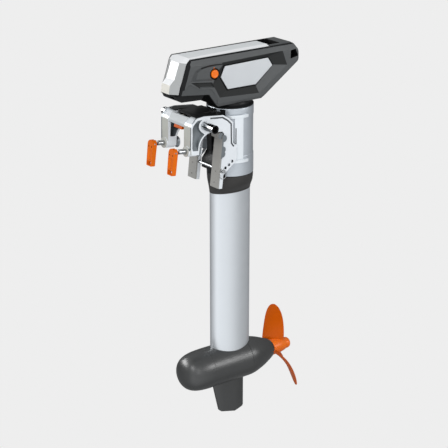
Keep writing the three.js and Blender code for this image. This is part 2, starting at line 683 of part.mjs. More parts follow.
const sideOutline = [
  [HEAD_FRONT, 110], [HEAD_FRONT + 1, 134], [-166, 199], [-160, 205], [112, 207], [184, 206], [191, 201], [206, 180],
  [210, 160], [206, 154], [72, HEAD_FLOOR], [-80, HEAD_FLOOR], [-108, 100], [-196, 108],
];
const crossSection = [
  [-48, 50], [-HEAD_HALF, 70], [-HEAD_HALF, 186], [-RIM_Y, 203], [-34, 207.5], [34, 207.5], [RIM_Y, 203],
  [HEAD_HALF, 186], [HEAD_HALF, 70], [48, 50],
];
const planOutline = [
  [HEAD_FRONT, -27], [-205, -43], [-194, -HEAD_HALF], [201, -HEAD_HALF], [208, -48], [212, -38], [212, 38], [208, 48],
  [201, HEAD_HALF], [-194, HEAD_HALF], [-205, 43], [HEAD_FRONT, 27],
];

function headBody() {
  return common(prismY(sideOutline, -60, 60), prismX(crossSection, -230, 230), prismZ(planOutline, 40, 220));
}

// Band of the white cover: down the front and along the top.
const coverBand = [
  [-240, 112], [-206, 112], [-204, 128], [-156, 192], [-150, 196], [110, 197.5], [110, 230], [-240, 230],
];
const HANDLE_OPENING = { x0: 112, x1: 152, y: 33, z0: 160 };
const handleUnder = [[150, 162], [200, 165], [199, 173], [190, 186], [150, 186]];

const badgeOutline = [[-52, 172], [98, 175], [114, 150], [55, 104], [-42, 105], [-66, 142]];
const recessOutline = [[-92, 138], [-73, 184], [144, 186], [162, 147], [69, 90], [-46, 91], [-72, 126]];
const channelOutline = [[-168, 146], [-150, 178], [-70, 184], [-80, 134], [-140, 138]];
const BUTTON = { x: -88, z: 155, r: 11.5 };

function headShells() {
  const cavity = prismY([
    [-196, 116], [-152, 190], [106, 191], [106, 152], [186, 152], [74, HEAD_FLOOR + HEAD_WALL],
    [-76, HEAD_FLOOR + HEAD_WALL], [-104, 105], [-190, 113],
  ], HEAD_WALL - HEAD_HALF + 3, HEAD_HALF - HEAD_WALL - 3);
  const opening = box(HANDLE_OPENING.x0, HANDLE_OPENING.x1, -HANDLE_OPENING.y, HANDLE_OPENING.y, HANDLE_OPENING.z0, 240);
  const under = prismY(handleUnder, -80, 80);
  const contactWay = box(-CONTACT.x - 2, CONTACT.x + 2, -CONTACT.y - 2, CONTACT.y + 2, 40, 80);
  const cuts = [cavity, opening, under, contactWay, prismY(coverBand, -RIM_Y, RIM_Y)];
  for (const side of [-1, 1]) {
    const from = (depth) => (side > 0 ? HEAD_HALF - depth : -80);
    const to = (depth) => (side > 0 ? 80 : depth - HEAD_HALF);
    cuts.push(prismY(recessOutline, from(4), to(4)));
    cuts.push(prismY(channelOutline, from(2), to(2)));
    const bore = rod('y', BUTTON.r + GAP, -20, 20, 28).translate(BUTTON.x, side * (HEAD_HALF - 4), BUTTON.z);
    cuts.push(bore);
  }
  return cut(headBody(), ...cuts);
}

const shells = headShells();
const coverSolid = common(headBody(), prismY(coverBand, -RIM_Y + GAP, RIM_Y - GAP));
for (const [sideName, side] of SIDES) {
  const from = side > 0 ? GAP / 2 : -90;
  const to = side > 0 ? 90 : -GAP / 2;
  add(upright, `${sideName}_head_shell`, common(shells, box(-300, 300, from, to, 0, 300)), 'shellGrey');
  const badge = prismY(badgeOutline, HEAD_HALF - 4 + GAP, HEAD_HALF - 1);
  add(upright, `${sideName}_badge_plate`, sided(badge, side), 'silver');
  const button = turned('y', [
    [0, HEAD_HALF - 9], [BUTTON.r - 2, HEAD_HALF - 9], [BUTTON.r, HEAD_HALF - 7], [BUTTON.r, HEAD_HALF + 0.5],
    [BUTTON.r - 1.2, HEAD_HALF + 1.6], [0, HEAD_HALF + 2],
  ], 24).translate(BUTTON.x, 0, BUTTON.z);
  add(upright, `${sideName}_release_button`, sided(button, side), 'orange');
}
function topCover() {
  const hollow = [
    [-198, 118], [-199, 130], [-154, 188], [-148, 192.5], [104, 194], [104, 150], [-150, 118],
  ];
  return cut(coverSolid, prismY(hollow, -39, 39));
}
add(upright, 'head_top_cover', topCover(), 'coverWhite');

function headBase() {
  const side = [[-209, 107.5 - GAP], [-203, 94], [-190, 87], [-124, 84], [-112, 98], [-116, 100], [-196, 107.5 - GAP]];
  const block = prismY(side, -34, 34);
  const socket = box(-230, -180, -20, -2, 92, 102);
  return cut(block, socket);
}
add(upright, 'head_base', headBase(), 'black');
add(upright, 'battery_pack', prismY([[-176, 122], [-144, 184], [100, 184], [100, 118], [-170, 118]], -38, 38), 'black');
add(upright, 'power_board', box(-62, 62, -38, 38, 88, 91), 'board');

export default motor;
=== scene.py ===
"""Looks of the electric outboard motor. Pieces are drawn in millimetres and placed in metres."""

import math

import bmesh
import bpy
from mathutils import Matrix, Vector
from mathutils.geometry import intersect_point_line


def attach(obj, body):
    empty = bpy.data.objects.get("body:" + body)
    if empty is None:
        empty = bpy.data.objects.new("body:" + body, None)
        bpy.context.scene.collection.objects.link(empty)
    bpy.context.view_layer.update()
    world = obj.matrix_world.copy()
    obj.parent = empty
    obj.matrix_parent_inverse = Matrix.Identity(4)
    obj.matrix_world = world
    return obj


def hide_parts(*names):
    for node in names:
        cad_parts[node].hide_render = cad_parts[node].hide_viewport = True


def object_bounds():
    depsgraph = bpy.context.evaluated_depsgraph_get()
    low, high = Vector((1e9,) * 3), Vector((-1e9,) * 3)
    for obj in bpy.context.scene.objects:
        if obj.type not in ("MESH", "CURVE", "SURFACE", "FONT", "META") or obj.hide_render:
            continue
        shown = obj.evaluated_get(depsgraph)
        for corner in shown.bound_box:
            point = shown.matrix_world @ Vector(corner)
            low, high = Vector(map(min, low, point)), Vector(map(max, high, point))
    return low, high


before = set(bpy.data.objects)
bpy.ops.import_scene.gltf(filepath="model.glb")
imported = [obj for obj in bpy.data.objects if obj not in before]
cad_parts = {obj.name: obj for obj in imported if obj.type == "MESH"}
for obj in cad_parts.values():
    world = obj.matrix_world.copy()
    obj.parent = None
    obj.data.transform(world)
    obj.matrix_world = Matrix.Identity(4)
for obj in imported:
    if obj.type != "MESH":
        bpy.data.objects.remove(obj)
cad_box = [list(corner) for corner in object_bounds()]

# ---- Driving dimensions, in millimetres ----
MM = 0.001
RAKE = math.radians(6.6)
GAP = 0.3
STEER_X = 118
TILT = (-25.3, 19.9)
TUBE_R = 12
TUBE_HALF = 122
ARM_OUT = 72
ARM_IN = 38
CHEEK_IN = 68
LEG_X = 44.7
LEG_LOW = -165
PAD_FACE_X = 40
ARCH_R = 40
ARCH_X = 5
TRIM_R = 152
TRIM_FIRST = -60.7
TRIM_STEP = 5.25
TRIM_HOLES = 4
SCREW_Y = 53
SCREW_Z = -54
LEVER_AT = (-46, 0, 8.2)
HANDLE_X = -106
HANDLE_LENGTH = 76
THREAD = 3
PORT_BACKED_OFF = 3
BARREL_R = 67
BARREL_TOP = 49
BARREL_LOW = -149
BARREL_BORE = 56
STEM_R = 50
SHAFT_A = 67
SHAFT_B = 37
SHAFT_WALL = 3
COLLAR_LOW = -206
POD_Z = -750
POD_R = 59.5
SADDLE_R = 60.2
SADDLE_BACK = 47
SADDLE_STEP = 1.6
NOSE_R = 60
NOSE_JOINT = -92
NOSE_TIP = -178
TAIL_END = 152
DRIVE_R = 8
PROP_R = 145
BLADES = 3
BLADE_ROOT_R = 15
BLADE_CHORD = 68
BLADE_THICK = 8.0
PITCH = 270
HUB_END = 204
HEAD_HALF = 52
HEAD_FLOOR = 62
TRIM_Y = 40
CENTRE_Y = 22.4
HEAD_FRONT = -222
RECESS = 8
CHANNEL = 4.5
WEDGE = 3.4
BUTTON = (-88, 155)
BUTTON_R = 11.6
RING_R = 16.2

TILTED = Matrix.Rotation(RAKE, 4, "Y")
# Bodies whose pieces are drawn upright about the steering axis. The others follow the raked bracket.
UPRIGHT = ("swivel", "column", "propulsion", "battery_head", "port_button", "starboard_button")
POD_AT = (0, 0, POD_Z)
SIDES = (("port", -1), ("starboard", 1))


# ---- Mesh helpers ----
def linked(name, data):
    obj = bpy.data.objects.new(name, data)
    bpy.context.scene.collection.objects.link(obj)
    return obj


def mesh_object(points, faces):
    mesh = bpy.data.meshes.new("part")
    mesh.from_pydata([tuple(p) for p in points], [], faces)
    obj = linked("part", mesh)
    edit = bmesh.new()
    edit.from_mesh(mesh)
    bmesh.ops.remove_doubles(edit, verts=edit.verts, dist=1e-4)
    bmesh.ops.recalc_face_normals(edit, faces=edit.faces)
    edit.to_mesh(mesh)
    edit.free()
    return obj


def on_axis(axis, u, v, along):
    return {"x": (along, u, v), "y": (u, along, v), "z": (u, v, along)}[axis]


def loft(rings):
    """Skin over rings of equal point counts, closed by a face at each end."""
    count = len(rings[0])
    points = [p for ring in rings for p in ring]
    faces = []
    for i in range(len(rings) - 1):
        for j in range(count):
            a, b = i * count + j, i * count + (j + 1) % count
            faces.append((a, b, b + count, a + count))
    faces.append(tuple(range(count)))
    faces.append(tuple(range((len(rings) - 1) * count, len(rings) * count)))
    return mesh_object(points, faces)


def prism(axis, outline, low, high):
    return loft([[on_axis(axis, u, v, s) for u, v in outline] for s in (low, high)])


def taper(axis, outer, inner, at_outer, at_inner, beyond=3.0):
    """Cutter between two outlines, carried on past the outer one."""
    step = (at_outer - at_inner) / abs(at_outer - at_inner) * beyond
    share = beyond / abs(at_outer - at_inner)
    far = [(u + (u - p) * share, v + (v - q) * share) for (u, v), (p, q) in zip(outer, inner)]
    rings = ((inner, at_inner), (outer, at_outer), (far, at_outer + step))
    return loft([[on_axis(axis, u, v, s) for u, v in ring] for ring, s in rings])


def box(x0, x1, y0, y1, z0, z1):
    return prism("z", [(x0, y0), (x1, y0), (x1, y1), (x0, y1)], z0, z1)


def circle(radius, sides, radius_v=None):
    other = radius if radius_v is None else radius_v
    turn = 2 * math.pi / sides
    return [(radius * math.cos(i * turn), other * math.sin(i * turn)) for i in range(sides)]


def foil(inset, sides):
    """The shaft's cross section, made smaller by the inset."""
    return circle(SHAFT_A - inset, sides, radius_v=SHAFT_B - inset)


def shifted(profile, by):
    """The profile moved along its axis."""
    return [(radius, along + by) for radius, along in profile]


def arc(u, v, radius, start, end, steps):
    turns = [math.radians(start + (end - start) * i / steps) for i in range(steps + 1)]
    return [(u + radius * math.cos(t), v + radius * math.sin(t)) for t in turns]


def rod(axis, radius, low, high, sides=48, at=(0, 0, 0)):
    return moved(prism(axis, circle(radius, sides), low, high), at)


def turned(axis, profile, sides=96):
    """Profile points are (radius, place along the axis). A closed profile gives a ring."""
    closed = profile[0] == profile[-1]
    points = profile[:-1] if closed else profile
    rings = []
    for radius, s in points:
        flat = circle(radius, sides) if radius > 1e-6 else [(0, 0)]
        rings.append([on_axis(axis, u, v, s) for u, v in flat])
    starts = [sum(map(len, rings[:i])) for i in range(len(rings))]
    faces = []
    for a in range(len(rings) if closed else len(rings) - 1):
        b = (a + 1) % len(rings)
        one, two = len(rings[a]) == 1, len(rings[b]) == 1
        if one and two:
            continue
        for j in range(sides):
            k = (j + 1) % sides
            face = [starts[a]] if one else [starts[a] + j, starts[a] + k]
            face += [starts[b]] if two else [starts[b] + k, starts[b] + j]
            faces.append(tuple(face))
    return mesh_object([p for ring in rings for p in ring], faces)


def moved(obj, by=(0, 0, 0), turn=None):
    matrix = Matrix.Translation(by)
    if turn:
        matrix = matrix @ Matrix.Rotation(turn[1], 4, turn[0])
    obj.data.transform(matrix)
    return obj


def rounded(outline, radius, steps=4):
    """Outline with each corner rounded, as far as its edges allow."""
    made = []
    count = len(outline)
    for i in range(count):
        size = radius[i] if isinstance(radius, (list, tuple)) else radius
        before, here, after = (Vector(outline[(i + k) % count]) for k in (-1, 0, 1))
        a, b = before - here, after - here
        if size < 0.01:
            made.append(tuple(here))
            continue
        half = a.angle(b) / 2
        back = min(size / math.tan(half), a.length * 0.45, b.length * 0.45)
        start, end = here + a.normalized() * back, here + b.normalized() * back
        for k in range(steps + 1):
            t = k / steps
            made.append(tuple(start * (1 - t) ** 2 + here * (2 * t * (1 - t)) + end * t * t))
    return made


def band(path, width):
    """Outline of a strip of even width along a path."""
    left, right = [], []
    for i, point in enumerate(path):
        here = Vector(point)
        ahead = Vector(path[min(i + 1, len(path) - 1)])
        behind = Vector(path[max(i - 1, 0)])
        first = (here - behind).normalized() if i else (ahead - here).normalized()
        second = (ahead - here).normalized() if i < len(path) - 1 else first
        along = (first + second).normalized()
        across = Vector((-along.y, along.x)) * (width / 2) / max(along.dot(first), 0.5)
        left.append(tuple(here + across))
        right.append(tuple(here - across))
    return left + right[::-1]


def bake(obj):
    graph = bpy.context.evaluated_depsgraph_get()
    mesh = bpy.data.meshes.new_from_object(obj.evaluated_get(graph))
    obj.modifiers.clear()
    old = obj.data
    obj.data = mesh
    bpy.data.meshes.remove(old)
    return obj


def boolean(target, operation, others):
    for other in others:
        step = target.modifiers.new("step", "BOOLEAN")
        step.operation = operation
        step.solver = "EXACT"
        step.object = other
    bake(target)
    for other in others:
        bpy.data.objects.remove(other)
    return target


def cut(target, *others):
    return boolean(target, "DIFFERENCE", others)


def join(target, *others):
    return boolean(target, "UNION", others)


def common(target, *others):
    return boolean(target, "INTERSECT", others)


def bevelled(obj, width, segments=2, angle=32, slot=0):
    """Rounds the edges. With a slot, the new faces take that material index."""
    for _ in range(slot + 1 if slot else 0):
        obj.data.materials.append(None)
    step = obj.modifiers.new("edges", "BEVEL")
    step.width = width
    step.segments = segments
    step.limit_method = "ANGLE"
    step.angle_limit = math.radians(angle)
    step.harden_normals = False
    step.use_clamp_overlap = True
    step.material = slot if slot else -1
    bake(obj)
    if slot:
        chosen = [face.material_index for face in obj.data.polygons]
        obj.data.materials.clear()
        obj.data.polygons.foreach_set("material_index", chosen)
    return obj


def mirrored(obj, side):
    """The piece as drawn for starboard, or turned over to port."""
    if side < 0:
        obj.data.transform(Matrix.Scale(-1, 4, (0, 1, 0)))
        obj.data.flip_normals()
    return obj


def place(obj, name, node, body, slot, looks=None, at=(0, 0, 0), sharp=38):
    """Moves a finished piece into the row frame and hands it to its body."""
    group = Matrix.Translation((STEER_X, 0, 0)) if body in UPRIGHT else TILTED
    obj.data.transform(Matrix.Scale(MM, 4) @ (group @ Matrix.Translation(at)))
    obj.name = name
    obj.data.name = name
    edit = bmesh.new()
    edit.from_mesh(obj.data)
    bmesh.ops.dissolve_degenerate(edit, edges=edit.edges, dist=1e-6)
    edit.to_mesh(obj.data)
    edit.free()
    obj.data.shade_smooth()
    obj.data.set_sharp_from_angle(angle=math.radians(sharp))
    step = obj.modifiers.new("normals", "WEIGHTED_NORMAL")
    step.keep_sharp = True
    for key in looks or [slot]:
        obj.data.materials.append(LOOK[key])
    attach(obj, body)
    if node:
        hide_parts(node)
    return obj


def paint(obj, index, chosen, over=None):
    """Gives the second or a later material to the faces that the test picks."""
    for face in obj.data.polygons:
        if over is not None and face.material_index != over:
            continue
        if chosen(face.center, face.normal):
            face.material_index = index
    return obj


# ---- Materials ----
def linear(red, green, blue):
    made = []
    for value in (red, green, blue):
        s = value / 255
        made.append(s / 12.92 if s <= 0.04045 else ((s + 0.055) / 1.055) ** 2.4)
    return (*made, 1.0)


def add_node(nodes, kind, values, **settings):
    """A shader node with some of its settings and input values changed."""
    made = nodes.new(kind)
    for name, value in settings.items():
        setattr(made, name, value)
    for name, value in values.items():
        made.inputs[name].default_value = value
    return made


def link(source, output, target, entry):
    source.id_data.links.new(source.outputs[output], target.inputs[entry])


def surface(name, colour, roughness, metallic, grain, depth, stretch=(1, 1, 1), mottle=0.06, spread=0.08,
            coat=0.0, wear=None, fleck=0.0, anisotropic=0.0, shine=0.5):
    """Paint, plastic or metal: fine relief, patchy gloss and colour, and worn edges."""
    material = bpy.data.materials.new(name)
    material.use_nodes = True
    nodes = material.node_tree.nodes
    shader = nodes["Principled BSDF"]
    shader.inputs["Metallic"].default_value = metallic
    shader.inputs["Specular IOR Level"].default_value = shine
    shader.inputs["Coat Weight"].default_value = coat
    shader.inputs["Coat Roughness"].default_value = 0.12
    shader.inputs["Anisotropic"].default_value = anisotropic
    coords = nodes.new("ShaderNodeTexCoord")
    mapping = add_node(nodes, "ShaderNodeMapping", {"Scale": stretch})
    link(coords, "Object", mapping, "Vector")

    fine = add_node(nodes, "ShaderNodeTexNoise", {"Scale": 1 / (grain * MM), "Detail": 5, "Roughness": 0.62})
    link(mapping, "Vector", fine, "Vector")
    bump = add_node(nodes, "ShaderNodeBump", {"Strength": 1.0, "Distance": depth * MM})
    link(fine, "Fac", bump, "Height")
    link(bump, "Normal", shader, "Normal")

    patch = add_node(nodes, "ShaderNodeTexNoise", {"Scale": 28.0, "Detail": 4.0, "Roughness": 0.6})
    link(coords, "Object", patch, "Vector")
    low, high = max(roughness - spread, 0.03), min(roughness + spread, 1.0)
    reach = {"From Min": 0.3, "From Max": 0.7, "To Min": low, "To Max": high}
    gloss = add_node(nodes, "ShaderNodeMapRange", reach)
    blend = add_node(nodes, "ShaderNodeMix", {"Factor": 0.45}, data_type="FLOAT")
    link(patch, "Fac", blend, "A")
    link(fine, "Fac", blend, "B")
    link(blend, "Result", gloss, "Value")
    link(gloss, "Result", shader, "Roughness")

    darker = (*[c * (1 - mottle) for c in colour[:3]], 1)
    lighter = (*[min(c * (1 + mottle), 1) for c in colour[:3]], 1)
    tint = add_node(nodes, "ShaderNodeMix", {"A": darker, "B": lighter}, data_type="RGBA")
    link(patch, "Fac", tint, "Factor")
    result = tint
    if fleck:
        cells = add_node(nodes, "ShaderNodeTexVoronoi", {"Scale": 1 / (0.35 * MM)})
        link(coords, "Object", cells, "Vector")
        shade = nodes.new("ShaderNodeSeparateColor")
        link(cells, "Color", shade, "Color")
        spark = add_node(nodes, "ShaderNodeMix", {"Factor": fleck}, data_type="RGBA", blend_type="OVERLAY")
        link(result, "Result", spark, "A")
        link(shade, "Red", spark, "B")
        result = spark
    if wear:
        shape = nodes.new("ShaderNodeNewGeometry")
        edge = add_node(nodes, "ShaderNodeMapRange", {"From Min": 0.52, "From Max": 0.62})
        link(shape, "Pointiness", edge, "Value")
        worn = add_node(nodes, "ShaderNodeMath", {}, operation="MULTIPLY")
        link(edge, "Result", worn, 0)
        link(fine, "Fac", worn, 1)
        mix = add_node(nodes, "ShaderNodeMix", {"B": wear}, data_type="RGBA")
        link(worn, "Value", mix, "Factor")
        link(result, "Result", mix, "A")
        result = mix
    link(result, "Result", shader, "Base Color")
    return material


# Colour, roughness, metallic, grain size and relief depth in millimetres, then what is special to each
SURFACES = {
    "cast_white": ((214, 218, 222), 0.42, 0.1, 0.7, 0.012, dict(mottle=0.03, shine=0.35, fleck=0.05)),
    "silver_paint": ((172, 178, 184), 0.36, 0.55, 0.5, 0.006, dict(mottle=0.03, coat=0.2, fleck=0.14)),
    "anodised": ((201, 205, 209), 0.34, 0.7, 0.6, 0.004,
                 dict(stretch=(1, 1, 0.012), mottle=0.025, spread=0.05, anisotropic=0.4)),
    "tube_metal": ((190, 192, 194), 0.2, 1.0, 0.8, 0.004,
                   dict(stretch=(1, 0.02, 1), mottle=0.06, spread=0.06, wear=linear(220, 222, 224))),
    "cover_white": ((229, 230, 231), 0.34, 0.0, 0.45, 0.006, dict(mottle=0.015, coat=0.1)),
    "cover_centre": ((222, 225, 226), 0.4, 0.0, 0.45, 0.006, dict(mottle=0.015, coat=0.1)),
    "cover_texture": ((150, 152, 152), 0.55, 0.0, 1.1, 0.09, dict(mottle=0.03)),
    "cover_lip": ((204, 201, 192), 0.45, 0.0, 0.6, 0.02, dict(mottle=0.02)),
    "shell_grey": ((68, 70, 71), 0.46, 0.0, 0.38, 0.02, dict(mottle=0.05, shine=0.3)),
    # A darker copy of the shell grey, painted as shade on the head's recess walls and under its front
    "shell_painted_shade": ((38, 39, 39), 0.5, 0.0, 0.38, 0.02, dict(mottle=0.05, shine=0.12)),
    "black_plastic": ((20, 21, 22), 0.4, 0.0, 0.4, 0.012, dict(mottle=0.07, shine=0.12)),
    "collar_rubber": ((48, 47, 46), 0.5, 0.0, 0.5, 0.015, dict(mottle=0.06, shine=0.25)),
    "pod_grey": ((38, 39, 39), 0.36, 0.1, 0.55, 0.006, dict(mottle=0.05, shine=0.8)),
    "pad_grey": ((140, 139, 135), 0.55, 0.0, 0.6, 0.03, dict(mottle=0.08)),
    "strip_grey": ((172, 173, 166), 0.5, 0.0, 0.6, 0.02, dict(mottle=0.05)),
    "seat_rubber": ((58, 58, 58), 0.75, 0.0, 0.5, 0.03, dict(mottle=0.08)),
    "steel": ((150, 152, 154), 0.26, 1.0, 0.5, 0.003,
              dict(stretch=(0.05, 1, 1), mottle=0.04, spread=0.08, wear=linear(228, 230, 232))),
    # The three oranges below are one plastic, painted lighter on the parts that catch more light
    "orange": ((192, 82, 0), 0.4, 0.0, 0.5, 0.008, dict(mottle=0.04, shine=0.12)),
    "orange_handle": ((212, 99, 6), 0.4, 0.0, 0.5, 0.008, dict(mottle=0.04, shine=0.12)),
    "orange_painted_light": ((226, 106, 4), 0.34, 0.0, 0.5, 0.008, dict(mottle=0.04, shine=0.3)),
    # A lighter copy of the shell grey, painted as highlight along the bevelled edges
    "shell_painted_edge_highlight": ((112, 114, 116), 0.44, 0.0, 0.38, 0.02, dict(mottle=0.05)),
    # A darker copy of the arms' white, painted as shade on the front beam
    "beam_white_painted_shade": ((188, 192, 194), 0.5, 0.0, 0.7, 0.012, dict(mottle=0.03, shine=0.15)),
    "strap_silver": ((210, 215, 219), 0.4, 0.4, 0.5, 0.008, dict(mottle=0.03)),
    "badge": ((184, 187, 190), 0.4, 0.35, 0.5, 0.004, dict(stretch=(0.04, 1, 1), mottle=0.02)),
    "winding": ((176, 106, 58), 0.4, 0.9, 0.9, 0.05, dict(stretch=(0.1, 1, 1))),
    "magnet": ((120, 122, 124), 0.35, 1.0, 0.6, 0.01, dict()),
    "board": ((28, 88, 50), 0.5, 0.0, 1.2, 0.03, dict(mottle=0.2)),
    "nylon": ((222, 218, 206), 0.5, 0.0, 0.5, 0.01, dict()),
    "bearing_plate": ((190, 192, 195), 0.32, 0.95, 0.5, 0.006, dict()),
    # Darker grey painted as shade in the cheek's engraved line and on the straps' tops
    "groove_painted_shade": ((84, 88, 92), 0.5, 0.0, 0.6, 0.02, dict(mottle=0.08)),
    # Darker grey painted as shade on the hook's web, the arm's inner pocket and the leg pad's upper part
    "web_grey": ((108, 114, 118), 0.36, 0.5, 0.6, 0.01, dict(mottle=0.06)),
    # Black painted as shade inside holes, grooves, the arch and the head's openings
    "black_painted_shade": ((16, 16, 17), 0.6, 0.0, 0.6, 0.01, dict(mottle=0.1, shine=0.06)),
}
LOOK = {name: surface(name, linear(*rgb), *main, **more) for name, (rgb, *main, more) in SURFACES.items()}

# ---- Clamp bracket ----
PIVOT = (TILT[0], 0, TILT[1])


def trim_hole(index):
    angle = math.radians(TRIM_FIRST + TRIM_STEP * index)
    return (TILT[0] + TRIM_R * math.cos(angle), 0, TILT[1] + TRIM_R * math.sin(angle))


ARCH = [(ARCH_X - ARCH_R, LEG_LOW - 5), (ARCH_X - ARCH_R, -ARCH_R)]
ARCH += arc(ARCH_X, -ARCH_R, ARCH_R, 180, 90, 24)[1:]
ARCH += [(LEG_X - 6, 0), (LEG_X, -6), (LEG_X, LEG_LOW - 5)]
HOLLOW = [
    (-60, 8), (-57, 20), (-48, 32), (-28, 36.5), (34, 37), (42, 32), (42, 6), (6, 6), (-20, 0), (-36, -18),
    (-41, -34), (-58, -34),
]
HOLLOW_FLOOR = 62


def arm_body():
    cheek = rounded([
        (-60, -62), (-64, -46), (-70, 16), (-66, 26), (-54, 41), (-29, 46), (36, 46.5), (57, 36), (72, 25),
        (79, -34), (94, -47), (96, -84), (90, -93), (56, -126), (56, -158), (52, LEG_LOW), (LEG_X, LEG_LOW),
        (LEG_X, -62),
    ], [2, 4, 6, 6, 10, 10, 8, 8, 6, 5, 6, 6, 6, 4, 3, 2, 0.5, 0.5])
    block = rounded([
        (-60, -60), (-64, -46), (-70, 16), (-66, 24), (-53, 37.5), (-29, 42.2), (36, 42.6), (48, 36.5),
        (48, -60),
    ], [2, 4, 6, 6, 8, 8, 6, 1, 1])
    hollow = rounded(HOLLOW, 4)
    body = join(
        prism("y", cheek, CHEEK_IN - 1, ARM_OUT),
        prism("y", block, ARM_IN, CHEEK_IN),
        box(LEG_X, LEG_X + 11, 36, ARM_OUT, LEG_LOW, -10),
    )
    cut(body, prism("y", hollow, ARM_IN - 1, HOLLOW_FLOOR), prism("y", ARCH, 30, ARM_OUT + 1))
    join(
        body,
        rod("y", TUBE_R + 5, ARM_IN, CHEEK_IN, 64, PIVOT),
        rod("x", 15, -68, -36, 48, (0, SCREW_Y, SCREW_Z)),
    )
    # Hollow web on the hook's side, between its front rim and the arch's rim
    web = [(-57, -50), (-60, -42), (-65, 14), (-61.5, 23), (-51, 34.5), (-44, 36)]
    web += arc(TILT[0], TILT[1], 19, 120, 225, 6)
    web += arc(ARCH_X, -ARCH_R, 44.5, 128, 180, 8)
    web += [(-39.5, -50)]
    middle = Vector((sum(u for u, v in web) / len(web), sum(v for u, v in web) / len(web)))
    floor = [tuple(middle + (Vector(p) - middle) * 0.72) for p in web]
    cuts = [taper("y", web, floor, ARM_OUT, ARM_OUT - 8)]
    # Engraved line along the cheek's top and aft edges
    line = band([(-8, 39.5), (34, 40), (53, 30.5), (66, 20.5), (73.5, -35), (83, -45)], 4.6)
    cuts.append(prism("y", line, ARM_OUT - 3.2, ARM_OUT + 2))
    # Bores for the tilt tube, the clamp screw and the trim pin
    cuts.append(rod("y", TUBE_R + GAP, 20, 90, 64, PIVOT))
    cuts.append(rod("x", 7 + GAP, -90, -10, 48, (0, SCREW_Y, SCREW_Z)))
    for index in range(TRIM_HOLES):
        hole = trim_hole(index)
        cuts.append(rod("y", 4 + GAP, 20, 90, 32, hole))
    return cut(body, *cuts)


def in_web(c):
    """Between the hook's front rim, the tube's boss and the arch's rim."""
    clear_of_boss = math.hypot(c.x - TILT[0], c.z - TILT[1]) > TUBE_R + 5.5
    clear_of_arch = c.z < -ARCH_R or math.hypot(c.x - ARCH_X, c.z + ARCH_R) > ARCH_R + 1
    return clear_of_boss and clear_of_arch and c.x < -39 + max(0, c.z + 40)


def in_arch(c, n):
    """On the wall of the arch over the transom."""
    round_part = -42 < c.z and math.hypot(c.x - ARCH_X, c.z + ARCH_R) < ARCH_R + 0.4
    straight_part = c.z < -39 and -36 < c.x < -34
    return abs(n.y) < 0.5 and (round_part or straight_part)


def in_line(c, n):
    """In the line engraved along the cheek's top and aft edges."""
    return ARM_OUT - 3.6 < c.y < ARM_OUT - 0.7 and c.z > -46 and c.x > -12 and c.z > c.x - 130


def in_hollow(c):
    """On the floor or a wall of the pocket in the arm's inner side."""
    if not ARM_IN + 1 < c.y < HOLLOW_FLOOR + 0.5:
        return False
    here = Vector((c.x, c.z))
    inside = False
    for a, b in zip(HOLLOW, HOLLOW[1:] + HOLLOW[:1]):
        near, share = intersect_point_line(here, Vector(a), Vector(b))
        if 0 <= share <= 1 and (here - near.xy).length < 1.2:
            return True
        if (a[1] > c.z) != (b[1] > c.z) and c.x < (b[0] - a[0]) * (c.z - a[1]) / (b[1] - a[1]) + a[0]:
            inside = not inside
    return inside and c.y > HOLLOW_FLOOR - 0.5


def trim_hole_near(c):
    holes = [trim_hole(index) for index in range(TRIM_HOLES)]
    return any(math.hypot(c.x - x, c.z - z) < 4.9 for x, _, z in holes)


def scallops():
    """Grey bumps on the leg pad's outer side, under the tube."""
    bumps = [rod("y", 9, 37, ARM_OUT - 1, 48, (LEG_X - GAP - 9, 0, -13))]
    bumps.append(box(PAD_FACE_X, LEG_X - GAP, ARM_OUT - 1, ARM_OUT + 2.2, -78, -16))
    for z, radius in ((-20, 10), (-52, 9.5), (-65, 9.5)):
        bumps.append(rod("y", radius, ARM_OUT + GAP, ARM_OUT + 2.2, 48, (LEG_X - GAP, 0, z)))
    return bumps


def transom_pad():
    body = join(box(PAD_FACE_X, LEG_X - GAP, 36, ARM_OUT, LEG_LOW + 1, -13), *scallops())
    cut(
        body,
        box(LEG_X - GAP, LEG_X + 20, 20, ARM_OUT + GAP, -30, 10),
        box(20, 60, 20, ARM_OUT + GAP, -0.5, 10),
        box(10, PAD_FACE_X, ARM_OUT, 90, -90, 10),
        box(20, PAD_FACE_X, 20, 90, -30, -20.5),
    )
    holes = [rod("x", 2.2, 30, LEG_X - 2, 24, (0, 54, z)) for z in (-150, -118)]
    return cut(body, *holes)


